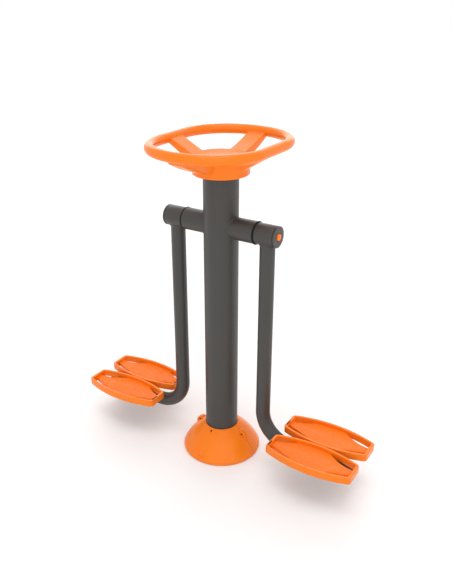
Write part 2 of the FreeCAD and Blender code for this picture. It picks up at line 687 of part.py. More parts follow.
def axle():
    """One stepped shaft through the cross tube, with a bearing seat and a bolt hole at each end."""
    seat = "bearing_bore / 2 - bearing_fit"
    hole = "axle_bolt_diameter / 2 + press_gap"
    hole_end = f"({AXLE_END} - axle_bolt_grip - press_gap)"
    shaft = turned("axle", [
        (f"-{AXLE_END}", hole),
        (f"-{AXLE_END}", seat),
        (f"-{INNER_BEARING}", seat),
        (f"-{INNER_BEARING}", "axle_diameter / 2"),
        (INNER_BEARING, "axle_diameter / 2"),
        (INNER_BEARING, seat),
        (AXLE_END, seat),
        (AXLE_END, hole),
        (hole_end, hole),
        (hole_end, "0"),
        (f"-{hole_end}", "0"),
        (f"-{hole_end}", hole),
    ])
    keep("axle", shaft)


# One side's fixed pieces, at +X

def axle_plate():
    """Closes the cross tube, carries the axle, and has the curved slot that limits the swing."""
    end = "cross_reach + axle_plate"
    body = ring("axle_plate", "cross_reach", end, "axle_diameter + 2 * weld_gap", "cross_diameter")
    half_slot = "(stop_pin_diameter / 2 + stop_play)"
    sketch = new_sketch(body, "XZ_Plane")
    outline(sketch, [
        ("cross_reach", f"stop_circle / 2 - {half_slot}"),
        (end, f"stop_circle / 2 - {half_slot}"),
        (end, f"stop_circle / 2 + {half_slot}"),
        ("cross_reach", f"stop_circle / 2 + {half_slot}"),
    ])
    pin_angle = f"2 * asin({half_slot} / stop_circle)"
    revolve(body, sketch, "X_Axis", "PartDesign::Groove", f"2 * swing_limit * 1 deg + 2 * {pin_angle}")
    return body


def seal_ring():
    start = "cross_reach + axle_plate"
    return ring("seal_ring", start, f"{start} + seal_width", "seal_bore", "seal_diameter")


def bearing_ring(name, bore, outside, race_side):
    """One ring of a ball bearing, with a round groove for the balls on its inner or outer face."""
    middle = f"({INNER_BEARING} + bearing_width / 2)"
    race = "(ball_diameter / 2 + race_gap)"
    lip = bore if race_side == "inside" else outside
    half_race = f"sqrt({race} ^ 2 - (ball_circle / 2 - ({lip}) / 2) ^ 2)"
    start, end = INNER_BEARING, f"{INNER_BEARING} + bearing_width"
    low, high = f"({bore}) / 2", f"({outside}) / 2"
    if race_side == "inside":
        corners = [(start, low), (f"{middle} - {half_race}", low, race, -1), (f"{middle} + {half_race}", low),
                   (end, low), (end, high), (start, high)]
    else:
        corners = [(start, low), (end, low), (end, high), (f"{middle} + {half_race}", high, race, -1),
                   (f"{middle} - {half_race}", high), (start, high)]
    return mirrored_group(name, turned(f"{name}_first", corners), ("x", BEARING_MIDDLE))


def bearing_inner_rings():
    return bearing_ring("bearing_inner_rings", "bearing_bore", "bearing_inner_ring", "outside")


def bearing_spacer():
    start = f"{INNER_BEARING} + bearing_width"
    return ring("bearing_spacer", start, OUTER_BEARING, "bearing_bore", "spacer_diameter")


def axle_washer():
    bore = "axle_bolt_diameter + 2 * screw_clearance"
    return ring("axle_washer", AXLE_END, f"{AXLE_END} + washer_thickness", bore, "washer_diameter")


def axle_bolt():
    seat = f"{AXLE_END} + washer_thickness"
    head = hexagon("axle_bolt_head", "axle_bolt_head", "axle_bolt_head_height", ALONG_X)
    place(head, seat, "0", "axle_height")
    shank = cylinder("axle_bolt_shank", "axle_bolt_diameter", "washer_thickness + axle_bolt_grip", ALONG_X)
    place(shank, f"{AXLE_END} - axle_bolt_grip", "0", "axle_height")
    return fuse("axle_bolt", head, shank)


# One side's swinging pieces, at +X

CIRCLIP_END = f"({AXLE_END} + circlip_thickness + 2 * circlip_play)"


def hub_sleeve():
    seat = "bearing_outside / 2 + bearing_fit"
    groove = "bearing_outside / 2 + circlip_groove"
    body = turned("hub_sleeve", [
        (HUB_START, "hub_shoulder_bore / 2"),
        (INNER_BEARING, "hub_shoulder_bore / 2"),
        (INNER_BEARING, seat),
        (AXLE_END, seat),
        (AXLE_END, groove),
        (CIRCLIP_END, groove),
        (CIRCLIP_END, seat),
        (HUB_END, seat),
        (HUB_END, "hub_diameter / 2"),
        (HUB_START, "hub_diameter / 2"),
    ])
    sketch = new_sketch(body, "YZ_Plane", HUB_START)
    circle(sketch, "stop_pin_diameter + 2 * press_gap", "0", "stop_circle / 2")
    pocket(body, sketch, "hub_shoulder", backwards=True)
    return body


def bearing_outer_rings():
    return bearing_ring("bearing_outer_rings", "bearing_outer_ring", "bearing_outside", "inside")


def bearing_balls():
    balls = []
    for row, start in enumerate((INNER_BEARING, OUTER_BEARING)):
        for index in range(BALL_COUNT):
            angle = 360 / BALL_COUNT * index
            ball = doc.addObject("Part::Sphere", f"ball_{row}_{index}")
            bind(ball, Radius="ball_diameter / 2")
            across = f"ball_circle / 2 * sin({angle})"
            up = f"axle_height + ball_circle / 2 * cos({angle})"
            balls.append(place(ball, f"{start} + bearing_width / 2", across, up))
    return group("bearing_balls", *balls)


def hub_circlip():
    start = f"{AXLE_END} + circlip_play"
    inside = "bearing_outside - 2 * circlip_width"
    outside = "bearing_outside + 2 * circlip_groove - 2 * circlip_play"
    whole = ring("circlip_whole", start, f"{start} + circlip_thickness", inside, outside)
    opening = doc.addObject("Part::Box", "circlip_gap")
    bind(opening, Length="circlip_thickness", Width="circlip_opening", Height="bearing_outside")
    place(opening, start, "-circlip_opening / 2", "axle_height")
    return cut("hub_circlip", whole, opening)


def stop_pin():
    item = cylinder("stop_pin", "stop_pin_diameter", "stop_pin_length", ALONG_X)
    return place(item, f"{INNER_BEARING} - running_gap - stop_pin_length", "0", "axle_height + stop_circle / 2")


def end_cap():
    outer_face = f"{HUB_END} + cap_thickness"
    recess_floor = f"{outer_face} - cap_recess_depth"
    spigot = "bearing_outside / 2 + bearing_fit - press_gap"
    return turned("end_cap", [
        (HUB_END, "cap_bore / 2"),
        (recess_floor, "cap_bore / 2"),
        (recess_floor, "cap_recess / 2"),
        (outer_face, "cap_recess / 2"),
        (outer_face, "hub_diameter / 2 - cap_edge"),
        (f"{outer_face} - cap_edge", "hub_diameter / 2"),
        (HUB_END, "hub_diameter / 2"),
        (HUB_END, spigot),
        (f"{HUB_END} - cap_spigot", spigot),
        (f"{HUB_END} - cap_spigot", f"{spigot} - cap_spigot_wall"),
        (HUB_END, f"{spigot} - cap_spigot_wall"),
    ])


def cap_plug():
    seat = f"{HUB_END} + cap_thickness - cap_recess_depth"
    top = f"{seat} + plug_head_height"
    stem = "cap_bore / 2 - press_gap"
    return turned("cap_plug", [
        (HUB_END, "0"),
        (HUB_END, stem),
        (seat, stem),
        (seat, "plug_head / 2"),
        (f"{top} - plug_edge", "plug_head / 2"),
        (top, "plug_head / 2 - plug_edge"),
        (top, "0"),
    ])


def arm_tube():
    """A tube bent from the hub down and out under the pedals, with its top cut to the hub's round."""
    body = new_body("arm_bent", "arm_offset")
    path = new_sketch(body, "XZ_Plane")
    outline(path, [
        ("0", "axle_height"),
        ("0", "arm_run_height + arm_bend", "arm_bend", 1),
        ("arm_bend", "arm_run_height"),
        ("arm_reach - arm_offset", "arm_run_height"),
    ], closed=False)
    section = new_sketch(body, "XY_Plane", "axle_height")
    circle(section, "arm_diameter")
    circle(section, "arm_diameter - 2 * arm_wall")
    tube = body.newObject("PartDesign::AdditivePipe", "arm_pipe")
    tube.Profile = section
    tube.Spine = (path, [])
    saddle = cylinder("arm_saddle", "hub_diameter + 2 * weld_gap", "2 * arm_diameter", ALONG_X)
    place(saddle, "arm_offset - arm_diameter", "0", "axle_height")
    return cut("arm_tube", body, saddle)


def arm_end_plug():
    inside = "arm_diameter / 2 - arm_wall - press_gap"
    return turned("arm_end_plug", [
        ("arm_reach - end_plug_depth", f"{inside} - end_plug_wall"),
        ("arm_reach", f"{inside} - end_plug_wall"),
        ("arm_reach", "0"),
        ("arm_reach + end_plug_flange", "0"),
        ("arm_reach + end_plug_flange", "arm_diameter / 2"),
        ("arm_reach", "arm_diameter / 2"),
        ("arm_reach", inside),
        ("arm_reach - end_plug_depth", inside),
    ], z="arm_run_height")


CARRIER_UNDER = "(arm_run_height + arm_diameter / 2 + weld_gap)"
PEDAL_UNDER = f"({CARRIER_UNDER} + carrier_thickness)"


def pedal_bolt_places():
    """The bolts of both pedals of a pair, from the middle of the carrier plate."""
    for x in ("pedal_bolt_span / 2", "-pedal_bolt_span / 2"):
        for pedal in (1, -1):
            for side in (1, -1):
                yield x, f"{pedal} * pedal_spread / 2 + {side} * pedal_bolt_gauge / 2"


def carrier_plate():
    body = new_body("carrier_plate", "pedal_offset", "0", CARRIER_UNDER)
    sketch = new_sketch(body, "XY_Plane")
    rounded_rectangle(sketch, "carrier_length", "carrier_width", "carrier_corner")
    for x, y in pedal_bolt_places():
        circle(sketch, "pedal_bolt_diameter + 2 * screw_clearance", x, y)
    pad(body, sketch, "carrier_thickness")
    return body


def carrier_ribs():
    """Four triangular plates that hold the carrier plate on both sides of the arm."""
    body = new_body("carrier_rib", "pedal_offset + rib_spacing / 2")
    inner = "arm_diameter / 2 + weld_gap"
    sketch = new_sketch(body, "YZ_Plane", "-rib_thickness / 2")
    outline(sketch, [
        (inner, "arm_run_height"),
        ("rib_reach", f"{CARRIER_UNDER} - rib_toe"),
        ("rib_reach", CARRIER_UNDER),
        (inner, CARRIER_UNDER),
    ])
    pad(body, sketch, "rib_thickness")
    return mirrored_group("carrier_ribs", body, ("x", "pedal_offset"), ("y", "0"))


def barrel(sketch, length, end_width, sagitta):
    """A pedal's plan: straight ends, and sides that bulge by the sagitta."""
    half, end = f"({length}) / 2", f"({end_width}) / 2"
    radius = f"(({half}) ^ 2 + ({sagitta}) ^ 2) / (2 * ({sagitta}))"
    outline(sketch, [
        (half, f"-{end}"),
        (half, end, radius, 1),
        (f"-{half}", end),
        (f"-{half}", f"-{end}", radius, 1),
    ])


PEDAL_SAGITTA = "((pedal_width - pedal_end_width) / 2)"


def in_side_wall(along):
    """The middle of a pedal's side wall, at a distance from the pedal's middle."""
    radius = f"((pedal_length / 2) ^ 2 + {PEDAL_SAGITTA} ^ 2) / (2 * {PEDAL_SAGITTA})"
    return f"(pedal_width / 2 - pedal_wall / 2 - ({along}) ^ 2 / (2 * {radius}))"


def tread_outline(sketch, lip="0"):
    """Meets the side walls along the middle and narrows to a neck beside each slot.

    The front slots are almost straight, and of the hollow rear ones that at the inner end is short. A lip
    draws the outline in, for the hollow under the plate.
    """
    tip = f"(pedal_length / 2 - pedal_end_wall / 2 - 2.5 * {lip})"
    shoulder = f"(shoulder_width / 2 - {lip})"
    corners = []
    for sign_x, sign_y, kind in ((1, 1, "long"), (-1, 1, "short"), (-1, -1, "front"), (1, -1, "front")):
        begin, neck = f"{kind}_slot_start", f"({kind}_slot_neck - {lip})"
        place_x = f"({kind}_slot_shoulder - 0.6 * {lip})"
        wall = in_side_wall(begin)
        lean = f"(({kind}_slot_shoulder - {begin}) / ({wall} - shoulder_width / 2))"
        reach = wall if lip == "0" else f"({shoulder} + 3 * {lip})"
        at_wall = f"({place_x} - ({reach} - {shoulder}) * {lean})"
        curve = f"{kind}_slot_curve + {lip}"
        at_tip = (f"{sign_x} * {tip}", f"{sign_y} * {neck}")
        at_shoulder = (f"{sign_x} * {place_x}", f"{sign_y} * {shoulder}")
        at_side = (f"{sign_x} * {at_wall}", f"{sign_y} * {reach}")
        if sign_x == sign_y:
            corners += [(*at_tip, curve, -1), at_shoulder, at_side]
        else:
            corners += [at_side, (*at_shoulder, curve, -1), at_tip]
    outline(sketch, corners)


def pedal(name, middle_y):
    """A foot tray: an upright rim round a tread plate, with slots beside the plate's necks."""
    body = new_body(name, "pedal_offset", middle_y, PEDAL_UNDER)
    sagitta = PEDAL_SAGITTA
    inner_length = "pedal_length - 2 * pedal_end_wall"
    slope = f"({sagitta}) / (pedal_length / 2)"
    inner_end = f"pedal_end_width - 2 * pedal_wall + 4 * pedal_end_wall * ({slope})"
    inner_sagitta = f"(pedal_width - 2 * pedal_wall - ({inner_end})) / 2"
    sketch = new_sketch(body, "XY_Plane")
    barrel(sketch, "pedal_length", "pedal_end_width", sagitta)
    barrel(sketch, inner_length, inner_end, inner_sagitta)
    rim = pad(body, sketch, "pedal_height")
    corner_x, corner_y = size_of("pedal_length / 2"), size_of("pedal_end_width / 2")
    near = size_of("press_gap")

    def upright_corner(edge):
        middle = edge.BoundBox.Center
        level = edge.BoundBox.XLength + edge.BoundBox.YLength < near
        return level and abs(abs(middle.x) - corner_x) < near and abs(abs(middle.y) - corner_y) < near

    rounded = fillet(body, rim, upright_corner, "pedal_corner")
    top = size_of("pedal_height")
    fillet(body, rounded, lambda edge: edge.BoundBox.ZMin > top - near, "pedal_edge")
    floor = "pedal_height - tray_depth - tread_thickness"
    sketch = new_sketch(body, "XY_Plane")
    tread_outline(sketch)
    pad(body, sketch, "pedal_height - tray_depth")
    sketch = new_sketch(body, "XY_Plane")
    tread_outline(sketch, "tread_lip")
    pocket(body, sketch, floor, backwards=True)
    for diameter, cutting in (("pedal_boss", False), ("pedal_insert_diameter + 2 * press_gap", True)):
        sketch = new_sketch(body, "XY_Plane")
        for x in ("pedal_bolt_span / 2", "-pedal_bolt_span / 2"):
            for y in ("pedal_bolt_gauge / 2", "-pedal_bolt_gauge / 2"):
                circle(sketch, diameter, x, y)
        if cutting:
            pocket(body, sketch, "pedal_insert_length", backwards=True)
        else:
            pad(body, sketch, floor)
    sketch = new_sketch(body, "XY_Plane", "pedal_height - hook_slot_depth")
    slot_x = "-(pedal_length / 2 - hook_slot_inset)"
    outline(sketch, [(f"{slot_x} + {side_x} * hook_slot_width / 2",
                      f"-hook_slot_offset + {side_y} * hook_slot_length / 2")
                     for side_x, side_y in ((-1, -1), (1, -1), (1, 1), (-1, 1))])
    pocket(body, sketch, "hook_slot_depth", backwards=True)
    return body


PEDAL_BOLT_PLANES = (("x", "pedal_offset"), ("y", "pedal_spread / 2"), ("y", "0"))


def pedal_bolts():
    x, y = "pedal_offset + pedal_bolt_span / 2", "pedal_spread / 2 + pedal_bolt_gauge / 2"
    head = hexagon("pedal_bolt_head", "pedal_bolt_head", "pedal_bolt_head_height")
    place(head, x, y, f"{CARRIER_UNDER} - pedal_bolt_head_height")
    shank = cylinder("pedal_bolt_shank", "pedal_bolt_diameter", "pedal_bolt_length")
    place(shank, x, y, CARRIER_UNDER)
    return mirrored_group("pedal_bolts", fuse("pedal_bolt", head, shank), *PEDAL_BOLT_PLANES)


def pedal_inserts():
    x, y = "pedal_offset + pedal_bolt_span / 2", "pedal_spread / 2 + pedal_bolt_gauge / 2"
    outside = cylinder("pedal_insert_body", "pedal_insert_diameter", "pedal_insert_length")
    place(outside, x, y, PEDAL_UNDER)
    bore = cylinder("pedal_insert_bore", "pedal_bolt_diameter + 2 * press_gap", "pedal_insert_length")
    place(bore, x, y, PEDAL_UNDER)
    return mirrored_group("pedal_inserts", cut("pedal_insert", outside, bore), *PEDAL_BOLT_PLANES)


def pedal_strips():
    """A black strip let into the inner end wall of each pedal of a pair."""
    strips = []
    for name, middle_y in (("front", "-pedal_spread / 2"), ("rear", "pedal_spread / 2")):
        strip = doc.addObject("Part::Box", f"{name}_strip")
        bind(strip, Length="hook_slot_width - 2 * press_gap", Width="hook_slot_length - 2 * press_gap",
             Height="hook_slot_depth - strip_sink")
        place(strip, "pedal_offset - pedal_length / 2 + hook_slot_inset - hook_slot_width / 2 + press_gap",
              f"{middle_y} - hook_slot_offset - hook_slot_length / 2 + press_gap",
              f"{PEDAL_UNDER} + pedal_height - hook_slot_depth")
        strips.append(strip)
    return group("pedal_strips", *strips)


def swing_side():
    """One side's pieces at +X, and their mirror images at -X."""
    pieces = {
        "axle_plate": axle_plate(),
        "seal_ring": seal_ring(),
        "bearing_inner_rings": bearing_inner_rings(),
        "bearing_spacer": bearing_spacer(),
        "axle_washer": axle_washer(),
        "axle_bolt": axle_bolt(),
        "hub_sleeve": hub_sleeve(),
        "bearing_outer_rings": bearing_outer_rings(),
        "bearing_balls": bearing_balls(),
        "hub_circlip": hub_circlip(),
        "stop_pin": stop_pin(),
        "end_cap": end_cap(),
        "cap_plug": cap_plug(),
        "arm_tube": arm_tube(),
        "arm_end_plug": arm_end_plug(),
        "carrier_plate": carrier_plate(),
        "carrier_ribs": carrier_ribs(),
        "front_pedal": pedal("front_pedal", "-pedal_spread / 2"),
        "rear_pedal": pedal("rear_pedal", "pedal_spread / 2"),
        "pedal_bolts": pedal_bolts(),
        "pedal_inserts": pedal_inserts(),
        "pedal_strips": pedal_strips(),
    }
    for name, piece in pieces.items():
        keep(f"right_{name}", piece)
        keep(f"left_{name}", mirrored(f"left_{name}", piece, "x"))


def check_features():
    """Stops if an object failed, a cut removed nothing, or a sub-part's shape is missing or broken."""
    for item in doc.Objects:
        if "Invalid" in item.State or "Error" in item.State:
            raise RuntimeError(f"{item.Label}: {item.State}")
        if item.TypeId in ("PartDesign::Pocket", "PartDesign::Groove"):
            if item.Shape.Volume >= item.BaseFeature.Shape.Volume:
                raise RuntimeError(f"{item.Label} cuts nothing")
    for node in nodes:
        if node.Shape.isNull() or not node.Shape.isValid() or not node.Shape.Solids:
            raise RuntimeError(f"{node.Label} has no valid solid")


base_flange()
base_gussets()
post_tube()
base_cover()
cover_screws()
cross_tube()
axle()
hand_wheel()
wheel_fixing()
swing_side()
doc.recompute()
check_features()
os.makedirs("parts", exist_ok=True)
for node in nodes:
    node.Shape.exportStep(f"parts/{node.Label}.step")
print(len(nodes), "sub-parts,", sum(len(node.Shape.Solids) for node in nodes), "solids")
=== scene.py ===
import json
import math

import bmesh
import bpy
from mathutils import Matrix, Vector, geometry


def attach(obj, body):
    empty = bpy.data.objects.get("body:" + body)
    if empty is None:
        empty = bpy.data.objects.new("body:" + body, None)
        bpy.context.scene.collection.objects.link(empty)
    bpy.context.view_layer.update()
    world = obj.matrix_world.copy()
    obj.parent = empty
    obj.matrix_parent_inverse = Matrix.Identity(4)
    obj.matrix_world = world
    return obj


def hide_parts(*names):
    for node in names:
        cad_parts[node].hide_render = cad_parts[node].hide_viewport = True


# Outdoor pendulum machine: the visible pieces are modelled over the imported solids, in the same frame.
# Lengths in this script are millimetres, and mm() turns them into Blender's metres.

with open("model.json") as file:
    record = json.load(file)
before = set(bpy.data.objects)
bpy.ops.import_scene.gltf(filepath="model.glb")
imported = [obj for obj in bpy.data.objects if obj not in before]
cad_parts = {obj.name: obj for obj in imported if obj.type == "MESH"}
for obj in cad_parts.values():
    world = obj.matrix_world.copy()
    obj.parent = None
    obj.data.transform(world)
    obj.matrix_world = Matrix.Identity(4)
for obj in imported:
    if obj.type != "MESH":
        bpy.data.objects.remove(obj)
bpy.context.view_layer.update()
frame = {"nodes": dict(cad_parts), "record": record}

POST_RADIUS, POST_BOTTOM, POST_TOP = 69.85, 12.0, 1299.5
TUBE_WALL = 5.0
AXLE = 1044.5
CROSS_RADIUS, CROSS_END = 44.45, 155.0
PLATE_END, PLATE_BORE = 163.0, 22.6
SEAL_RADIUS, SEAL_BORE = 46.0, 40.3
HUB_START, HUB_END, HUB_RADIUS, HUB_BORE = 167.6, 250.0, 42.0, 36.0
HUB_LIP, HUB_LIP_BORE = 8.4, 29.0
CAP_THICK, CAP_SPIGOT, CAP_SPIGOT_BORE, CAP_SPIGOT_LENGTH = 6.0, 35.8, 31.0, 5.0
PLUG_HOLE, PLUG_SEAT, PLUG_SEAT_RADIUS, PLUG_RADIUS = 12.0, 3.0, 17.0, 14.0
ARM_X, ARM_RADIUS, ARM_BEND, ARM_RUN, ARM_END = 210.0, 30.15, 134.0, 119.35, 636.0
ARM_PLUG_RADIUS, ARM_PLUG_DEPTH, ARM_PLUG_HEAD = 26.4, 18.0, 4.0
PEDAL_X, PEDAL_Y, PEDAL_BOTTOM, PEDAL_TOP = 482.0, 81.5, 154.6, 185.6
TREAD_TOP, TREAD_BOTTOM = 171.6, 165.6
RIM_Z, RIM_RADIUS = 1366.3, 20.0
BOSS_BOTTOM, BOSS_TOP, BOSS_RADIUS = 1252.5, 1322.0, 111.0
COVER_RADIUS, COVER_NECK, COVER_HEIGHT = 170.0, 71.35, 122.5
COVER_FOOT, COVER_WALL, COVER_BULGE = 11.0, 4.0, 8.0
WELD_SIZE, WELD_RIPPLE, WELD_RIPPLES = 3.2, 0.10, 44
FLOOR_GLOW = 0.04


# Modelling by hand

def mm(*lengths):
    return tuple(length * 0.001 for length in lengths)


def start(name, add, at=(0, 0, 0), **shape):
    """Adds a primitive at its place with nothing else selected, and opens it in edit mode."""
    bpy.ops.object.select_all(action="DESELECT")
    add(location=mm(*at), **shape)
    piece = bpy.context.object
    piece.name = piece.data.name = name
    bpy.ops.object.transform_apply(location=True, rotation=True, scale=True)
    bpy.ops.object.mode_set(mode="EDIT")
    return piece


def choose(piece):
    """Selects a piece alone and makes it the active one."""
    bpy.ops.object.select_all(action="DESELECT")
    piece.select_set(True)
    bpy.context.view_layer.objects.active = piece


def extrude(x=0, y=0, z=0):
    bpy.ops.mesh.extrude_region_move(TRANSFORM_OT_translate={"value": mm(x, y, z)})


def resize(about, x=1, y=1, z=1):
    bpy.ops.transform.resize(value=(x, y, z), center_override=mm(*about))


def pick(kind, wanted):
    """Selects what the test wants of the open piece's vertices, edges or faces."""
    bpy.ops.mesh.select_mode(type=kind)
    bpy.ops.mesh.select_all(action="DESELECT")
    mesh = bmesh.from_edit_mesh(bpy.context.object.data)
    for item in {"VERT": mesh.verts, "EDGE": mesh.edges, "FACE": mesh.faces}[kind]:
        item.select_set(bool(wanted(item)))
    mesh.select_flush_mode()
    bmesh.update_edit_mesh(bpy.context.object.data)


def apply(piece, kind, **settings):
    """Adds a modifier with its settings and applies it."""
    choose(piece)
    modifier = piece.modifiers.new(kind.lower(), kind)
    for name, value in settings.items():
        setattr(modifier, name, value)
    bpy.ops.object.modifier_apply(modifier=modifier.name)


def close(bevel=0.0, angle=32):
    """Merges doubles, turns the faces outwards, rounds the sharp edges and shades the open piece."""
    bpy.ops.mesh.select_all(action="SELECT")
    bpy.ops.mesh.remove_doubles(threshold=0.00001)
    bpy.ops.mesh.normals_make_consistent(inside=False)
    bpy.ops.object.mode_set(mode="OBJECT")
    piece = bpy.context.object
    if bevel:
        apply(piece, "BEVEL", width=bevel * 0.001, segments=3, limit_method="ANGLE",
              angle_limit=math.radians(angle))
    bpy.ops.object.shade_smooth_by_angle(angle=math.radians(angle))
    return piece


def turned(name, axis, profile, about=(0, 0, 0), sides=96, bevel=0.0):
    """A round piece: a circle extruded and scaled through its profile's steps (along, radius)."""
    unit = Vector((1, 0, 0)) if axis == "x" else Vector((0, 0, 1))
    centre = Vector(about)
    along, radius = profile[0]
    turn = (0, math.pi / 2, 0) if axis == "x" else (0, 0, 0)
    start(name, bpy.ops.mesh.primitive_circle_add, centre + unit * along, rotation=turn,
          vertices=sides, radius=radius * 0.001, fill_type="NOTHING")
    for step, size in profile[1:]:
        extrude(*(unit * (step - along)))
        ratio = size / radius
        resize(centre + unit * step, *[1 if fixed else ratio for fixed in unit])
        along, radius = step, size
    if profile[0] != profile[-1]:
        bpy.ops.mesh.edge_face_add()
        first = (centre + unit * profile[0][0]).dot(unit) * 0.001
        reach = profile[0][1] * 0.001

        def first_ring(vertex):
            off = vertex.co - Vector(mm(*centre))
            radial = (off - unit * off.dot(unit)).length
            return abs(vertex.co.dot(unit) - first) < 1e-6 and abs(radial - reach) < 1e-6

        pick("VERT", first_ring)
        bpy.ops.mesh.edge_face_add()
    return close(bevel)


def flat(plan, z):
    return [(x, y, z) for x, y in plan]


def filled(name, points):
    """A flat face with its corners at the points, made from a circle whose vertices are moved to them."""
    piece = start(name, bpy.ops.mesh.primitive_circle_add, vertices=len(points), fill_type="NGON")
    mesh = bmesh.from_edit_mesh(piece.data)
    mesh.verts.ensure_lookup_table()
    for vertex, point in zip(mesh.verts, points):
        vertex.co = mm(*point)
    bmesh.update_edit_mesh(piece.data)
    bpy.ops.mesh.select_all(action="SELECT")
    return piece


def combine(piece, tool, operation):
    """Joins a tool to the piece or cuts it away, and removes the tool."""
    apply(piece, "BOOLEAN", object=tool, operation=operation, solver="EXACT")
    bpy.data.objects.remove(tool)
    return piece


def join(piece, *others):
    bpy.ops.object.select_all(action="DESELECT")
    for other in (*others, piece):
        other.select_set(True)
    bpy.context.view_layer.objects.active = piece
    bpy.ops.object.join()
    return piece


def copied(piece, name):
    """A copy with its own mesh, open in edit mode and selected all over."""
    choose(piece)
    bpy.ops.object.duplicate()
    twin = bpy.context.object
    twin.name = twin.data.name = name
    bpy.ops.object.mode_set(mode="EDIT")
    bpy.ops.mesh.select_all(action="SELECT")
    return twin


def mirrored(piece, name, axis="x"):
    """A mirror image with its own mesh, across the plane through the post's axis."""
    twin = copied(piece, name)
    resize((0, 0, 0), *[-1 if axis == each else 1 for each in "xyz"])
    bpy.ops.mesh.normals_make_consistent(inside=False)
    bpy.ops.object.mode_set(mode="OBJECT")
    return twin


# Materials

def linear(code):
    """An sRGB hex colour as linear RGBA."""
    channels = [int(code[place:place + 2], 16) / 255 for place in (1, 3, 5)]
    return [c / 12.92 if c <= 0.04045 else ((c + 0.055) / 1.055) ** 2.4 for c in channels] + [1.0]


def add(tree, kind, settings, links):
    """Adds a node, sets its sockets and properties, and joins its sockets to other nodes' outputs."""
    node = tree.nodes.new(kind)
    for name, value in settings.items():
        if isinstance(name, str) and hasattr(node, name):
            setattr(node, name, value)
        else:
            node.inputs[name].default_value = value
    for name, source in links.items():
        tree.links.new(source, node.inputs[name])
    return node


def new_material(name):
    material = bpy.data.materials.new(name)
    material.use_nodes = True
    tree = material.node_tree
    tree.nodes.clear()
    coords = add(tree, "ShaderNodeTexCoord", {}, {})
    return material, tree, coords.outputs["Object"]


def surface(tree, shader):
    add(tree, "ShaderNodeOutputMaterial", {}, {"Surface": shader.outputs[0]})


def powder_coat():
    """Polyester powder coat on steel: satin, with the faint orange peel that baked powder leaves."""
    material, tree, place = new_material("powder_coated_steel")
    cloud = add(tree, "ShaderNodeTexNoise", {"Scale": 1 / 0.160, "Detail": 3.0}, {"Vector": place})
    tint = add(tree, "ShaderNodeMix", {"data_type": "RGBA", 6: linear("#383633"), 7: linear("#403E3B")},
               {0: cloud.outputs["Fac"]})
    # real peel is about 1.5 mm across, too fine for the render, so it is drawn at 5 mm
    peel = add(tree, "ShaderNodeTexNoise", {"Scale": 1 / 0.005, "Detail": 2.0, "Roughness": 0.45},
               {"Vector": place})
    gloss = add(tree, "ShaderNodeMapRange",
                {"From Min": 0.3, "From Max": 0.7, "To Min": 0.36, "To Max": 0.50},
                {"Value": peel.outputs["Fac"]})
    bump = add(tree, "ShaderNodeBump", {"Strength": 0.18, "Distance": 0.0003},
               {"Height": peel.outputs["Fac"]})
    shader = add(tree, "ShaderNodeBsdfPrincipled", {"IOR": 1.5, "Specular IOR Level": 0.5},
                 {"Base Color": tint.outputs[2], "Roughness": gloss.outputs[0], "Normal": bump.outputs[0]})
    surface(tree, shader)
    return material


def moulded_polyethylene():
    """Rotomoulded polyethylene, dyed through: warm and satin, with the fine stipple of a blasted mould."""
    material, tree, place = new_material("moulded_polyethylene")
    cloud = add(tree, "ShaderNodeTexNoise", {"Scale": 1 / 0.120, "Detail": 3.0}, {"Vector": place})
    tint = add(tree, "ShaderNodeMix", {"data_type": "RGBA", 6: linear("#F97C14"), 7: linear("#FE841A")},
               {0: cloud.outputs["Fac"]})
    # the mould's stipple is under 1 mm, so it is drawn at 4 mm to show
    stipple = add(tree, "ShaderNodeTexNoise", {"Scale": 1 / 0.004, "Detail": 3.0, "Roughness": 0.55},
                  {"Vector": place})
    gloss = add(tree, "ShaderNodeMapRange",
                {"From Min": 0.3, "From Max": 0.7, "To Min": 0.20, "To Max": 0.30},
                {"Value": stipple.outputs["Fac"]})
    bump = add(tree, "ShaderNodeBump", {"Strength": 0.15, "Distance": 0.0003},
               {"Height": stipple.outputs["Fac"]})
    # a blasted mould leaves a surface that gives back less sheen than polished plastic
    shader = add(tree, "ShaderNodeBsdfPrincipled", {"IOR": 1.5, "Specular IOR Level": 0.25},
                 {"Base Color": tint.outputs[2], "Roughness": gloss.outputs[0], "Normal": bump.outputs[0]})
    surface(tree, shader)
    return material


def nitrile_rubber():
    """Moulded nitrile rubber: nearly black, dull, with a dusty grey bloom in patches."""
    material, tree, place = new_material("nitrile_rubber")
    bloom = add(tree, "ShaderNodeTexNoise", {"Scale": 1 / 0.012, "Detail": 4.0}, {"Vector": place})
    tint = add(tree, "ShaderNodeMix", {"data_type": "RGBA", 6: linear("#0E0E0D"), 7: linear("#191817")},
               {0: bloom.outputs["Fac"]})
    bump = add(tree, "ShaderNodeBump", {"Strength": 0.12, "Distance": 0.0002},
               {"Height": bloom.outputs["Fac"]})
    shader = add(tree, "ShaderNodeBsdfPrincipled", {"IOR": 1.52, "Roughness": 0.7, "Specular IOR Level": 0.2},
                 {"Base Color": tint.outputs[2], "Normal": bump.outputs[0]})
    surface(tree, shader)
    return material


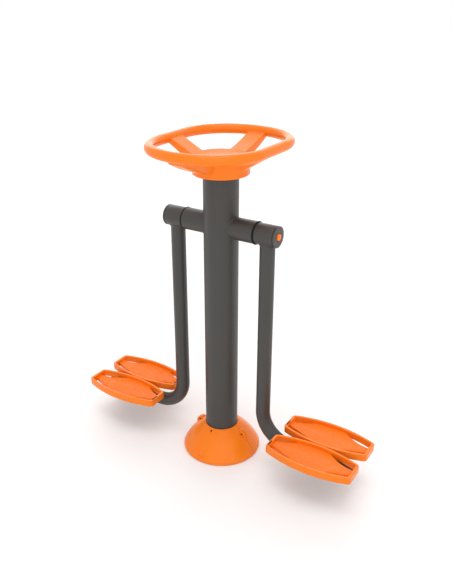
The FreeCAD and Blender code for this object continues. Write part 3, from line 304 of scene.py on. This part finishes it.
def plated_metal(name, dark, light, grain_mm, rough):
    """Bare or plated metal: a cloudy tint and a fine turned grain that spreads the highlight."""
    material, tree, place = new_material(name)
    cloud = add(tree, "ShaderNodeTexNoise", {"Scale": 1 / 0.020, "Detail": 4.0}, {"Vector": place})
    tint = add(tree, "ShaderNodeMix", {"data_type": "RGBA", 6: linear(dark), 7: linear(light)},
               {0: cloud.outputs["Fac"]})
    grain = add(tree, "ShaderNodeTexNoise", {"Scale": 1000 / grain_mm, "Detail": 2.0}, {"Vector": place})
    gloss = add(tree, "ShaderNodeMapRange", {"To Min": rough - 0.08, "To Max": rough + 0.08},
                {"Value": grain.outputs["Fac"]})
    bump = add(tree, "ShaderNodeBump", {"Strength": 0.08, "Distance": 0.0001},
               {"Height": grain.outputs["Fac"]})
    shader = add(tree, "ShaderNodeBsdfPrincipled", {"Metallic": 1.0},
                 {"Base Color": tint.outputs[2], "Roughness": gloss.outputs[0], "Normal": bump.outputs[0]})
    surface(tree, shader)
    return material


COAT = powder_coat()
ORANGE = moulded_polyethylene()
RUBBER = nitrile_rubber()
ZINC = plated_metal("zinc_plated_steel", "#9C9EA0", "#B9BBBD", 1.2, 0.38)
BLACK_OXIDE = plated_metal("black_oxide_steel", "#1B1B1C", "#29292A", 1.0, 0.45)
GROUND_STEEL = plated_metal("ground_bearing_steel", "#A9AAAC", "#C4C5C7", 0.8, 0.25)
BRASS = plated_metal("turned_brass", "#B08A45", "#CBA45A", 0.8, 0.32)
FINISH = {"powder_coat_grey": COAT, "orange_plastic": ORANGE, "black_rubber": RUBBER, "zinc_steel": ZINC,
          "black_oxide_steel": BLACK_OXIDE, "bearing_steel": GROUND_STEEL, "brass_inserts": BRASS}


def dress(piece, slot, body, *nodes):
    """Gives a piece its finish, lets it ride on its body and says which solids it stands for."""
    piece.data.materials.clear()
    piece.data.materials.append(FINISH[slot])
    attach(piece, body)
    if nodes:
        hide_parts(*nodes)
    return piece


def both_sides(piece, slot, *nodes, fixed=False):
    """Dresses a piece of the right side, and its mirror image on the left."""
    name = piece.name
    twin = mirrored(piece, f"left_{name}")
    piece.name = piece.data.name = f"right_{name}"
    for side, each in (("right", piece), ("left", twin)):
        dress(each, slot, "frame" if fixed else f"{side}_arm", *[f"{side}_{node}" for node in nodes])


# Post, cross tube and their welds

def post():
    """The post's tube, from the base flange to the wheel's flange."""
    inside = POST_RADIUS - TUBE_WALL
    piece = turned("post", "z", [(POST_BOTTOM, POST_RADIUS), (POST_TOP, POST_RADIUS), (POST_TOP, inside),
                                 (POST_BOTTOM, inside), (POST_BOTTOM, POST_RADIUS)], sides=128)
    dress(piece, "powder_coat_grey", "frame", "post_tube")


def cross_tube():
    """The tube through the post, and the plate at each of its ends."""
    inside = CROSS_RADIUS - TUBE_WALL
    piece = turned("cross_tube_skin", "x", [(-CROSS_END, CROSS_RADIUS), (CROSS_END, CROSS_RADIUS),
                                            (CROSS_END, inside), (-CROSS_END, inside),
                                            (-CROSS_END, CROSS_RADIUS)], about=(0, 0, AXLE))
    dress(piece, "powder_coat_grey", "frame", "cross_tube")
    plate = turned("end_plate", "x", [(CROSS_END, CROSS_RADIUS), (PLATE_END, CROSS_RADIUS),
                                      (PLATE_END, PLATE_BORE), (CROSS_END, PLATE_BORE),
                                      (CROSS_END, CROSS_RADIUS)], about=(0, 0, AXLE))
    both_sides(plate, "powder_coat_grey", "axle_plate", fixed=True)


def weld_bead(name, radius, seat):
    """A fillet weld round a tube: a ring that follows its seat, with the small ripples of a hand weld."""
    piece = start(name, bpy.ops.mesh.primitive_torus_add, major_segments=176, minor_segments=8,
                  major_radius=radius * 0.001, minor_radius=WELD_SIZE * 0.001)
    mesh = bmesh.from_edit_mesh(piece.data)
    for vertex in mesh.verts:
        angle = math.atan2(vertex.co.y, vertex.co.x)
        ring = Vector((math.cos(angle), math.sin(angle), 0)) * (radius * 0.001)
        swell = 1 + WELD_RIPPLE * math.cos(WELD_RIPPLES * angle)
        point = ring + (vertex.co - ring) * swell
        vertex.co = seat(point)
    bmesh.update_edit_mesh(piece.data)
    return close(angle=60)


def post_welds():
    """The cross tube's weld, on the round of the post."""
    def seat(point):
        y, z, out = point.x, point.y, point.z
        wall = math.sqrt((POST_RADIUS * 0.001) ** 2 - y ** 2)
        return Vector((wall + out, y, z + AXLE * 0.001))

    both_sides(weld_bead("cross_tube_weld", CROSS_RADIUS, seat), "powder_coat_grey", fixed=True)


# Hub, cap and arm

def seal():
    """The rubber ring between the end plate, which stands still, and the hub, which swings."""
    end = HUB_START - 0.3
    piece = turned("seal", "x", [(PLATE_END, SEAL_BORE), (PLATE_END, SEAL_RADIUS), (end, SEAL_RADIUS),
                                 (end, SEAL_BORE), (PLATE_END, SEAL_BORE)], about=(0, 0, AXLE), bevel=0.9)
    both_sides(piece, "black_rubber", "seal_ring", fixed=True)


def hub():
    """The sleeve, its cap with a thin groove between them, and the coloured plug in the cap."""
    end = HUB_END - 1
    lip = HUB_START + HUB_LIP
    sleeve = turned("hub", "x", [(HUB_START, HUB_LIP_BORE), (HUB_START, HUB_RADIUS), (end, HUB_RADIUS),
                                 (end, HUB_BORE), (lip, HUB_BORE), (lip, HUB_LIP_BORE),
                                 (HUB_START, HUB_LIP_BORE)], about=(0, 0, AXLE), bevel=0.8)
    both_sides(sleeve, "powder_coat_grey", "hub_sleeve")
    edge, face, seat = HUB_END + 0.8, HUB_END + CAP_THICK, HUB_END + PLUG_SEAT
    spigot = HUB_END - CAP_SPIGOT_LENGTH
    cap = turned("hub_cap", "x", [(HUB_END, PLUG_HOLE), (seat, PLUG_HOLE), (seat, PLUG_SEAT_RADIUS),
                                  (face, PLUG_SEAT_RADIUS), (face, HUB_RADIUS), (edge, HUB_RADIUS),
                                  (edge, CAP_SPIGOT), (spigot, CAP_SPIGOT), (spigot, CAP_SPIGOT_BORE),
                                  (HUB_END, CAP_SPIGOT_BORE), (HUB_END, PLUG_HOLE)],
                 about=(0, 0, AXLE), bevel=0.8)
    both_sides(cap, "powder_coat_grey", "end_cap")
    neck = PLUG_HOLE - 0.1
    plug = turned("hub_plug", "x", [(HUB_END, neck), (seat, neck), (seat, PLUG_RADIUS),
                                    (HUB_END + 8.5, PLUG_RADIUS), (HUB_END + 10.2, PLUG_RADIUS - 0.8),
                                    (HUB_END + 11.5, PLUG_RADIUS - 3)],
                  about=(0, 0, AXLE), sides=64, bevel=0.6)
    both_sides(plug, "orange_plastic", "cap_plug")


def arm():
    """A tube drawn down from the hub, spun round its bend and drawn out under the pedals."""
    top = AXLE - HUB_RADIUS
    bend_x, bend_z = ARM_X + ARM_BEND, ARM_RUN + ARM_BEND
    start("arm", bpy.ops.mesh.primitive_circle_add, (ARM_X, 0, top), vertices=64, radius=ARM_RADIUS * 0.001,
          fill_type="NOTHING")
    extrude(z=bend_z - top)
    bpy.ops.mesh.spin(steps=28, angle=math.pi / 2, center=mm(bend_x, 0, bend_z), axis=(0, 1, 0))
    extrude(x=ARM_END - bend_x)
    bpy.ops.mesh.edge_face_add()
    # the upper end is coped to the round of the hub, and sinks into it by the root of the weld
    root = 0.6
    mesh = bmesh.from_edit_mesh(bpy.context.object.data)
    for vertex in mesh.verts:
        if vertex.co.z > (top - 1) * 0.001:
            vertex.co.z = AXLE * 0.001 - math.sqrt(((HUB_RADIUS - root) * 0.001) ** 2 - vertex.co.y ** 2)
    bmesh.update_edit_mesh(bpy.context.object.data)
    pick("EDGE", lambda edge: edge.is_boundary)
    bpy.ops.mesh.edge_face_add()
    both_sides(close(), "powder_coat_grey", "arm_tube")

    # past this half width the hub falls away too steeply for the weld to follow
    widest = 33.5

    def seat(point):
        drop = math.sqrt((HUB_RADIUS * 0.001) ** 2 - min(abs(point.y), widest * 0.001) ** 2)
        return Vector((point.x + ARM_X * 0.001, point.y, (AXLE - root) * 0.001 - drop - point.z))

    both_sides(weld_bead("arm_weld", ARM_RADIUS, seat), "powder_coat_grey")
    face = ARM_END + ARM_PLUG_HEAD
    plug = turned("arm_plug", "x", [(ARM_END - ARM_PLUG_DEPTH, ARM_PLUG_RADIUS), (ARM_END, ARM_PLUG_RADIUS),
                                    (ARM_END, ARM_RADIUS), (face - 1.4, ARM_RADIUS), (face, ARM_RADIUS - 3)],
                  about=(0, 0, ARM_RUN), sides=64, bevel=0.8)
    both_sides(plug, "black_rubber", "arm_end_plug")


# Pedals

# half length, half width at the ends and in the middle, and corner radius of the tray's wall
TRAY_OUTSIDE = (187.5, 46, 80.3, 15)
TRAY_INSIDE = (175.5, 40.4, 70.4, 6)
TREAD_TIP, TREAD_SHOULDER = 181.5, 51.5
# outward and rearward sign of each slot, the neck beside it, its shoulder and start, its edge's radius
TREAD_SLOTS = ((1, 1, 20, 75, 43, 180), (-1, 1, 19.5, 101, 84, 200), (-1, -1, 10, 65, 33, 1500),
               (1, -1, 10, 65, 33, 1500))
# the middle of the side wall, which falls off with the square of the way along it
WALL_MIDDLE, WALL_FALL = 75.3, 1060.0
BOLT_X, BOLT_Y, BOLT_BOSS = 60.0, 30.0, 12.0
# the slot at each pedal's inner end, and the black strip set in it as painted shade
STRIP_X, STRIP_Y, STRIP_FLOOR = -180.0, -17.5, 160.6
STRIP_WIDTH, STRIP_LENGTH, STRIP_GAP = 6.0, 34.0, 0.2
STRIP_CORNER, STRIP_SINK = 2.0, 1.0
SHOULDER_ROUND, TREAD_LIP, TREAD_EDGE = 5.0, 4.0, 0.7
STUD_FIRST, STUD_ROWS, STUD_COLUMNS = (-171.0, -76.0), 26, 20
STUD_PITCH, STUD_ROW, STUD_MARGIN = 8.0, 6.9, 3.5
STUD_FOOT, STUD_TOP, STUD_HEIGHT, STUD_CROWN, STUD_SINK = 3.0, 2.0, 1.5, 0.3, 0.1


def barrel(half_length, end, middle, corner, side_steps=28, corner_steps=7):
    """The pedal's plan: straight ends, bulging sides and round corners, counter-clockwise."""
    sagitta = middle - end
    radius = (half_length ** 2 + sagitta ** 2) / (2 * sagitta)
    low = middle - radius
    corner_x = half_length - corner
    corner_y = low + math.sqrt((radius - corner) ** 2 - corner_x ** 2)
    lean = math.atan2(corner_x, corner_y - low)
    points = []
    for step in range(corner_steps + 1):
        angle = (math.pi / 2 - lean) * step / corner_steps
        points.append((corner_x + corner * math.cos(angle), corner_y + corner * math.sin(angle)))
    for step in range(1, side_steps):
        angle = lean - 2 * lean * step / side_steps
        points.append((radius * math.sin(angle), low + radius * math.cos(angle)))
    points += [(-x, y) for x, y in points[:corner_steps + 1][::-1]]
    return points + [(-x, -y) for x, y in points]


def hollow(first, last, radius, steps=12):
    """Points on the arc between two points of the tread plate's edge, bent in towards the plate."""
    (x0, y0), (x1, y1) = first, last
    chord = math.hypot(x1 - x0, y1 - y0)
    height = math.sqrt(radius ** 2 - (chord / 2) ** 2)
    centre_x = (x0 + x1) / 2 + (y1 - y0) / chord * height
    centre_y = (y0 + y1) / 2 + (x0 - x1) / chord * height
    begin = math.atan2(y0 - centre_y, x0 - centre_x)
    end = math.atan2(y1 - centre_y, x1 - centre_x)
    return [(centre_x + radius * math.cos(begin + (end - begin) * step / steps),
             centre_y + radius * math.sin(begin + (end - begin) * step / steps)) for step in range(steps + 1)]


def tread_plan():
    """The tread plate's plan: against the side walls in the middle, with a neck beside each slot."""
    points = []
    for out, rear, neck, shoulder, begin, radius in TREAD_SLOTS:
        edge = hollow((TREAD_TIP, neck), (shoulder, TREAD_SHOULDER), radius)
        edge.append((begin, WALL_MIDDLE - begin ** 2 / WALL_FALL))
        edge = [(out * x, rear * y) for x, y in edge]
        points += edge if out == rear else edge[::-1]
    return points


def room(point, plan):
    """How far a point lies inside a plan, or a negative length outside it."""
    spot = Vector(point)
    odd, least = False, math.inf
    for first, last in zip(plan, plan[1:] + plan[:1]):
        if (first[1] > spot.y) != (last[1] > spot.y):
            if spot.x < (last[0] - first[0]) * (spot.y - first[1]) / (last[1] - first[1]) + first[0]:
                odd = not odd
        _, share = geometry.intersect_point_line(spot, Vector(first), Vector(last))
        near = Vector(first).lerp(Vector(last), min(max(share, 0), 1))
        least = min(least, (spot - near).length)
    return least if odd else -least


def tread_studs(plans):
    """Low round studs in staggered rows, wherever the tread plate has room for a whole one."""
    middle = TREAD_TOP + STUD_HEIGHT / 2 - STUD_SINK
    piece = start("studs", bpy.ops.mesh.primitive_cone_add, (*STUD_FIRST, middle), vertices=8,
                  radius1=STUD_FOOT * 0.001, radius2=STUD_TOP * 0.001, depth=STUD_HEIGHT * 0.001)
    pick("FACE", lambda face: face.normal.z < -0.9)
    bpy.ops.mesh.delete(type="FACE")
    pick("FACE", lambda face: face.normal.z > 0.9)
    bpy.ops.mesh.inset(thickness=0.0007)
    extrude(z=STUD_CROWN)
    bpy.ops.object.mode_set(mode="OBJECT")
    count = len(piece.data.vertices)
    for copies, step in ((STUD_COLUMNS, (0, STUD_PITCH, 0)), (2, (STUD_ROW, STUD_PITCH / 2, 0)),
                         (STUD_ROWS, (2 * STUD_ROW, 0, 0))):
        apply(piece, "ARRAY", count=copies, use_relative_offset=False, use_constant_offset=True,
              constant_offset_displace=mm(*step))
    bpy.ops.object.mode_set(mode="EDIT")
    mesh = bmesh.from_edit_mesh(piece.data)
    mesh.verts.ensure_lookup_table()
    outside = set()
    for first in range(0, len(mesh.verts), count):
        group = mesh.verts[first:first + count]
        centre = sum((vertex.co for vertex in group), Vector()) / count * 1000
        if min(room(centre.xy, plan) for plan in plans) < STUD_MARGIN:
            outside.update(range(first, first + count))
    pick("VERT", lambda vertex: vertex.index in outside)
    bpy.ops.mesh.delete(type="VERT")
    bpy.ops.object.mode_set(mode="OBJECT")
    bpy.ops.object.shade_smooth_by_angle(angle=math.radians(30))
    return piece


def tread_plate(plan):
    """The tread plate: rounded shoulders, a crisp upper edge and a lip all round its hollow underside."""
    filled("tread_plate", flat(plan, PEDAL_BOTTOM))
    extrude(z=TREAD_TOP - PEDAL_BOTTOM)
    shoulders = [mm(out * shoulder, rear * TREAD_SHOULDER) for out, rear, _, shoulder, *_ in TREAD_SLOTS]

    def at_shoulder(edge):
        first, last = (vertex.co for vertex in edge.verts)
        upright = (first.xy - last.xy).length < 1e-5
        return upright and min((first.xy - Vector(each)).length for each in shoulders) < 1e-4

    pick("EDGE", at_shoulder)
    bpy.ops.mesh.bevel(offset=SHOULDER_ROUND * 0.001, segments=4)
    bpy.ops.mesh.select_all(action="SELECT")
    bpy.ops.mesh.normals_make_consistent(inside=False)
    pick("FACE", lambda face: max(vertex.co.z for vertex in face.verts) < (PEDAL_BOTTOM + 0.1) * 0.001)
    bpy.ops.mesh.inset(thickness=TREAD_LIP * 0.001)
    extrude(z=TREAD_BOTTOM - PEDAL_BOTTOM)
    pick("EDGE", lambda edge: min(vertex.co.z for vertex in edge.verts) > (TREAD_TOP - 0.1) * 0.001)
    bpy.ops.mesh.bevel(offset=TREAD_EDGE * 0.001, segments=2)
    return close()


def strip(name, x, y, width, length, top, bevel=0.0):
    """An upright strip with rounded corners, from the floor of its slot to its top."""
    start(name, bpy.ops.mesh.primitive_cube_add, (x, y, (STRIP_FLOOR + top) / 2), size=1,
          scale=mm(width, length, top - STRIP_FLOOR))
    pick("EDGE", lambda edge: abs(edge.verts[0].co.z - edge.verts[1].co.z) > 0.01)
    bpy.ops.mesh.bevel(offset=STRIP_CORNER * 0.001, segments=4)
    return close(bevel)


def pedal():
    """A foot tray: a rounded rim with a draft inside, a tread plate with slots, bolt bosses and studs."""
    height = PEDAL_TOP - PEDAL_BOTTOM
    filled("pedal", flat(barrel(*TRAY_OUTSIDE), PEDAL_BOTTOM))
    extrude(z=height)
    tray = close()
    inner = barrel(*TRAY_INSIDE)
    # the cutter reaches 4 mm past the tray at both ends, and its scales give the wall its draft
    past = 4
    filled("tray_inside", flat(inner, PEDAL_BOTTOM - past))
    resize((0, 0, 0), x=1.002, y=0.988)
    extrude(z=height + 2 * past)
    resize((0, 0, 0), x=0.994, y=0.992)
    combine(tray, close(), "DIFFERENCE")
    apply(tray, "BEVEL", width=0.0024, segments=4, limit_method="ANGLE", angle_limit=math.radians(50))
    plan = tread_plan()
    combine(tray, tread_plate(plan), "UNION")
    sunk = TREAD_BOTTOM + 0.5
    for x in (-BOLT_X, BOLT_X):
        for y in (-BOLT_Y, BOLT_Y):
            start("boss", bpy.ops.mesh.primitive_cylinder_add, (x, y, (PEDAL_BOTTOM + sunk) / 2), vertices=32,
                  radius=BOLT_BOSS * 0.001, depth=(sunk - PEDAL_BOTTOM) * 0.001)
            combine(tray, close(), "UNION")
    slot = strip("strip_slot", STRIP_X, STRIP_Y, STRIP_WIDTH, STRIP_LENGTH, PEDAL_TOP + 15)
    combine(tray, slot, "DIFFERENCE")
    tray = join(tray, tread_studs((plan, inner)))
    bpy.ops.object.shade_smooth_by_angle(angle=math.radians(40))
    return tray


def place_pedals():
    """The pedals of the right arm, which face the same way, and their mirror images on the left arm."""
    shape = pedal()
    for name, y in (("front", -PEDAL_Y), ("rear", PEDAL_Y)):
        piece = copied(shape, f"{name}_foot_tray")
        bpy.ops.transform.translate(value=mm(PEDAL_X, y, 0))
        bpy.ops.object.mode_set(mode="OBJECT")
        both_sides(piece, "orange_plastic", f"{name}_pedal")
    bpy.data.objects.remove(shape)
    # the black strips set in the pedals' slots are painted shade: dark blocks that stand in for the shade
    # deep inside each slot
    width, length = STRIP_WIDTH - STRIP_GAP, STRIP_LENGTH - STRIP_GAP
    top = PEDAL_TOP - STRIP_SINK
    strips = [strip("strips", PEDAL_X + STRIP_X, y + STRIP_Y, width, length, top, bevel=0.6)
              for y in (-PEDAL_Y, PEDAL_Y)]
    both_sides(join(*strips), "black_rubber", "pedal_strips")


# Hand wheel

GRIP_X, GRIP_HALF = 222.0, 76.9
# where a corner's arc is centred, and the run and rise from there to the end arc
CORNER_X, CORNER_RUN, CORNER_RISE = 22.0, 55.0, 192.3
SOCKET_RADIUS, SOCKET_TOP = 70.15, 1299.8
RECESS_RADIUS, RECESS_TOP = 103.0, 1268.5
SPOKE_ROOT, SPOKE_ROOT_TOP, SPOKE_ROOT_DEPTH, SPOKE_HALF = 96.0, 1313.0, 42.0, 38.0


def rim_ring():
    """The rim's tube, drawn along its grips and spun round its corners and its end arcs."""
    turn = math.atan2(CORNER_RISE, CORNER_RUN)
    start("rim", bpy.ops.mesh.primitive_circle_add, (GRIP_X, -GRIP_HALF, RIM_Z), rotation=(math.pi / 2, 0, 0),
          vertices=36, radius=RIM_RADIUS * 0.001, fill_type="NOTHING")
    for side in (1, -1):
        extrude(y=side * 2 * GRIP_HALF)
        x, y = CORNER_X * side, GRIP_HALF * side
        for steps, angle, centre in ((20, turn, (x, y)), (12, math.pi - 2 * turn, (0, 0)),
                                     (20, turn, (-x, y))):
            bpy.ops.mesh.spin(steps=steps, angle=angle, center=mm(*centre, RIM_Z), axis=(0, 0, -1))
    return close()


def corner(y, z, first, radius, steps=5):
    """Points on a quarter circle about (y, z), from its first angle on."""
    return [(y + radius * math.cos(math.radians(first + 90 * step / steps)),
             z + radius * math.sin(math.radians(first + 90 * step / steps))) for step in range(steps + 1)]


def spoke(along, reach, rise, depth, sag, steps=8):
    """A spoke from the boss to the rim, flat above and round below, that sags between its two ends."""
    edge, under = 2.5, 13
    low = under - SPOKE_ROOT_DEPTH
    section = [*corner(SPOKE_HALF - edge, -edge, 0, edge), *corner(edge - SPOKE_HALF, -edge, 90, edge),
               *corner(under - SPOKE_HALF, low, 180, under), *corner(SPOKE_HALF - under, low, 270, under)]
    filled("spoke", [(SPOKE_ROOT, y, SPOKE_ROOT_TOP + z) for y, z in section])
    place, top, height = SPOKE_ROOT, SPOKE_ROOT_TOP, SPOKE_ROOT_DEPTH
    for step in range(1, steps + 1):
        share = step / steps
        dip = 4 * share * (1 - share) * sag
        new_place = SPOKE_ROOT + (reach - SPOKE_ROOT) * share
        new_top = SPOKE_ROOT_TOP + (RIM_Z + rise - SPOKE_ROOT_TOP) * share - dip
        new_height = SPOKE_ROOT_DEPTH + (depth - SPOKE_ROOT_DEPTH) * share
        extrude(x=new_place - place, z=new_top - top)
        resize((new_place, 0, new_top), z=new_height / height)
        place, top, height = new_place, new_top, new_height
    bpy.ops.mesh.select_all(action="SELECT")
    bpy.ops.transform.rotate(value=-math.radians(along), orient_axis="Z", center_override=(0, 0, 0))
    return close()


def hand_wheel():
    """The wheel, one moulding: boss, spokes and rim are grown together, so that small fillets join them."""
    boss = turned("wheel", "z", [(SOCKET_TOP, SOCKET_RADIUS), (RECESS_TOP, SOCKET_RADIUS),
                                 (RECESS_TOP, RECESS_RADIUS), (BOSS_BOTTOM, RECESS_RADIUS),
                                 (BOSS_BOTTOM, BOSS_RADIUS), (BOSS_TOP, BOSS_RADIUS)], sides=128, bevel=4.5)
    # direction, reach, height above the rim's middle, depth at the rim and sag of each spoke
    spokes = [spoke(0, GRIP_X, 11.5, 30, 0.5), spoke(180, GRIP_X, 11.5, 30, 0.5), spoke(90, 280, 7, 34, 8),
              spoke(270, 280, 7, 34, 8)]
    wheel = join(boss, rim_ring(), *spokes)
    # grown together on a 1.8 mm grid, smoothed until the joints have small fillets, then thinned
    apply(wheel, "REMESH", mode="VOXEL", voxel_size=0.0018, adaptivity=0.0)
    apply(wheel, "SMOOTH", factor=0.5, iterations=7)
    apply(wheel, "DECIMATE", ratio=0.45)
    bpy.ops.object.shade_smooth()
    wheel.name = wheel.data.name = "moulded_wheel"
    dress(wheel, "orange_plastic", "frame", "hand_wheel")


# Base cover

EAR_X, EAR_Z, EAR_RADIUS, EAR_DEPTH = 100.0, 80.0, 28.5, 20.4
EAR_SCREW_X, EAR_SCREW_Z, EAR_SCREW_FLOOR = 111.0, 93.0, 4.7
EAR_SCREW_RADIUS, EAR_HEAD_RADIUS = 2.3, 4.4
SET_SCREW_Y, SET_SCREW_Z, SET_SCREW_RADIUS = -82.0, 113.5, 4.0
# middle of the shallow flat's face, its width and height, and its lean
FLAT_PLACE, FLAT_WIDTH, FLAT_HEIGHT, FLAT_LEAN = (-4, -152, 36), 28, 30, 30
SEAM = 1.1


def arc_between(first, last, bulge, steps=14):
    """Points (z, radius) on a shallow arc between two points of a profile, bulging outwards."""
    run, rise = last[1] - first[1], last[0] - first[0]
    length = math.hypot(run, rise)
    points = []
    for step in range(steps + 1):
        share = step / steps
        swell = 4 * share * (1 - share) * bulge
        points.append((first[0] + rise * share - run / length * swell,
                       first[1] + run * share + rise / length * swell))
    return points


def cover_inside():
    """The hollow of the cover as a solid, to cut with."""
    radius, past = COVER_RADIUS - COVER_WALL, 20
    inner = arc_between((COVER_FOOT - COVER_WALL / 2, radius), (COVER_HEIGHT - COVER_WALL, COVER_NECK),
                        COVER_BULGE)
    return turned("hollow", "z", [(-past, radius), *inner, (COVER_HEIGHT + past, COVER_NECK)], sides=160)


def drill(shell, name, x, y, z, radius, depth):
    """Cuts a round hole from front to back, with its middle at the point given."""
    start(name, bpy.ops.mesh.primitive_cylinder_add, (x, y, z), rotation=(math.pi / 2, 0, 0), vertices=32,
          radius=radius * 0.001, depth=depth * 0.001)
    combine(shell, close(), "DIFFERENCE")


def base_cover():
    """The bell in two halves: ears with sunk screws at its seam, a set screw's hole and a flat in front."""
    neck = COVER_NECK + COVER_WALL
    # the lower edge stands just off the ground, which draws a thin shadow line under it
    foot = [(2.5, COVER_RADIUS - 1.2), (4, COVER_RADIUS)]
    outer = arc_between((COVER_FOOT, COVER_RADIUS), (COVER_HEIGHT - 1, neck), COVER_BULGE)
    shell = turned("cover", "z", [*foot, *outer, (COVER_HEIGHT, neck - 1)], sides=160)
    for x in (-EAR_X, EAR_X):
        start("ear", bpy.ops.mesh.primitive_cylinder_add, (x, 0, EAR_Z), rotation=(math.pi / 2, 0, 0),
              vertices=72, radius=EAR_RADIUS * 0.001, depth=EAR_DEPTH * 0.001)
        combine(shell, close(bevel=1.2), "UNION")
    x, y, z = FLAT_PLACE
    start("flat", bpy.ops.mesh.primitive_cube_add, (x, y - 10, z), size=1,
          scale=mm(FLAT_WIDTH, 20, FLAT_HEIGHT))
    bpy.ops.transform.rotate(value=math.radians(FLAT_LEAN), orient_axis="X", center_override=mm(x, y, z))
    pick("EDGE", lambda edge: True)
    bpy.ops.mesh.bevel(offset=0.0015, segments=2)
    combine(shell, close(), "DIFFERENCE")
    combine(shell, cover_inside(), "DIFFERENCE")
    for x in (-EAR_SCREW_X, EAR_SCREW_X):
        drill(shell, "screw_hole", x, 0, EAR_SCREW_Z, EAR_SCREW_RADIUS, 60)
        drill(shell, "screw_head_hole", x, -EAR_SCREW_FLOOR - 10, EAR_SCREW_Z, EAR_HEAD_RADIUS, 20)
    drill(shell, "set_screw_hole", 0, SET_SCREW_Y, SET_SCREW_Z, SET_SCREW_RADIUS, 40)
    choose(shell)
    bpy.ops.object.mode_set(mode="EDIT")
    bpy.ops.mesh.select_all(action="SELECT")
    bpy.ops.mesh.bisect(plane_co=mm(0, -SEAM, 0), plane_no=(0, 1, 0), use_fill=True, clear_outer=True)
    shell = close()
    shell.name = shell.data.name = "front_cover"
    bpy.ops.object.shade_smooth_by_angle(angle=math.radians(32))
    rear = mirrored(shell, "rear_cover", "y")
    dress(shell, "orange_plastic", "frame", "cover_front_half")
    dress(rear, "orange_plastic", "frame", "cover_rear_half")


# Stage

def background_rays(tree):
    """A socket that is 1 for rays that show the background, and 0 for those that light the object."""
    path = add(tree, "ShaderNodeLightPath", {}, {})
    seen = add(tree, "ShaderNodeMath", {"operation": "MAXIMUM"},
               {0: path.outputs["Is Camera Ray"], 1: path.outputs["Is Glossy Ray"]})
    through = add(tree, "ShaderNodeMath", {"operation": "MAXIMUM"},
                  {0: seen.outputs[0], 1: path.outputs["Is Transmission Ray"]})
    return through.outputs[0]


def stage():
    """A white floor that keeps soft shadows, a pale room and broad soft suns."""
    scene = bpy.context.scene
    scene.view_settings.view_transform = "Standard"
    start("floor", bpy.ops.mesh.primitive_plane_add, size=60)
    floor = close()
    material, tree, _ = new_material("studio_floor")
    # the floor's faintly warm paint and the pink of its glow are painted bounce light: they tint the floor's
    # shadows pink, as light from the orange pedals would
    paint = add(tree, "ShaderNodeBsdfDiffuse", {"Color": (0.97, 0.955, 0.95, 1)}, {})
    level = add(tree, "ShaderNodeMath", {"operation": "MULTIPLY", 1: FLOOR_GLOW}, {0: background_rays(tree)})
    glow = add(tree, "ShaderNodeEmission", {"Color": (1, 0.82, 0.80, 1)}, {"Strength": level.outputs[0]})
    both = add(tree, "ShaderNodeAddShader", {}, {0: paint.outputs[0], 1: glow.outputs[0]})
    surface(tree, both)
    floor.data.materials.append(material)
    world = scene.world or bpy.data.worlds.new("studio")
    scene.world = world
    world.use_nodes = True
    tree = world.node_tree
    tree.nodes.clear()
    sky = add(tree, "ShaderNodeBackground", {"Color": (1, 1, 1, 1), "Strength": 0.65}, {})
    white = add(tree, "ShaderNodeBackground", {"Color": (1, 1, 1, 1), "Strength": 1.0}, {})
    mixed = add(tree, "ShaderNodeMixShader", {},
                {0: background_rays(tree), 1: sky.outputs[0], 2: white.outputs[0]})
    add(tree, "ShaderNodeOutputWorld", {}, {"Surface": mixed.outputs[0]})
    # name, place that the light comes from, power and apparent size in degrees
    lamps = (("overhead", (0.05, -0.05, 3.0), 0.9, 40), ("front", (1.5, -2.2, 0.9), 0.8, 80),
             ("back", (-1.36, 2.08, 1.0), 0.9, 60))
    for name, spot, power, spread in lamps:
        lamp = bpy.data.lights.new(name, "SUN")
        lamp.energy, lamp.angle = power, math.radians(spread)
        holder = bpy.data.objects.new(name, lamp)
        scene.collection.objects.link(holder)
        holder.location = spot
        holder.rotation_euler = (-Vector(spot)).to_track_quat("-Z", "Y").to_euler()
    eye = bpy.data.cameras.new("camera")
    eye.lens = 41.22
    eye.sensor_width = 36
    camera = bpy.data.objects.new("camera", eye)
    scene.collection.objects.link(camera)
    camera.location = (1.3602, -2.0833, 1.9087)
    camera.rotation_euler = (math.radians(65.14), 0, math.radians(32.70))
    scene.camera = camera


stage()
post()
cross_tube()
post_welds()
seal()
hub()
arm()
place_pedals()
hand_wheel()
base_cover()

for entry in frame["record"]["subparts"]:
    node = frame["nodes"][entry["node"]]
    node.data.materials.clear()
    node.data.materials.append(FINISH[entry["material_slot"]])
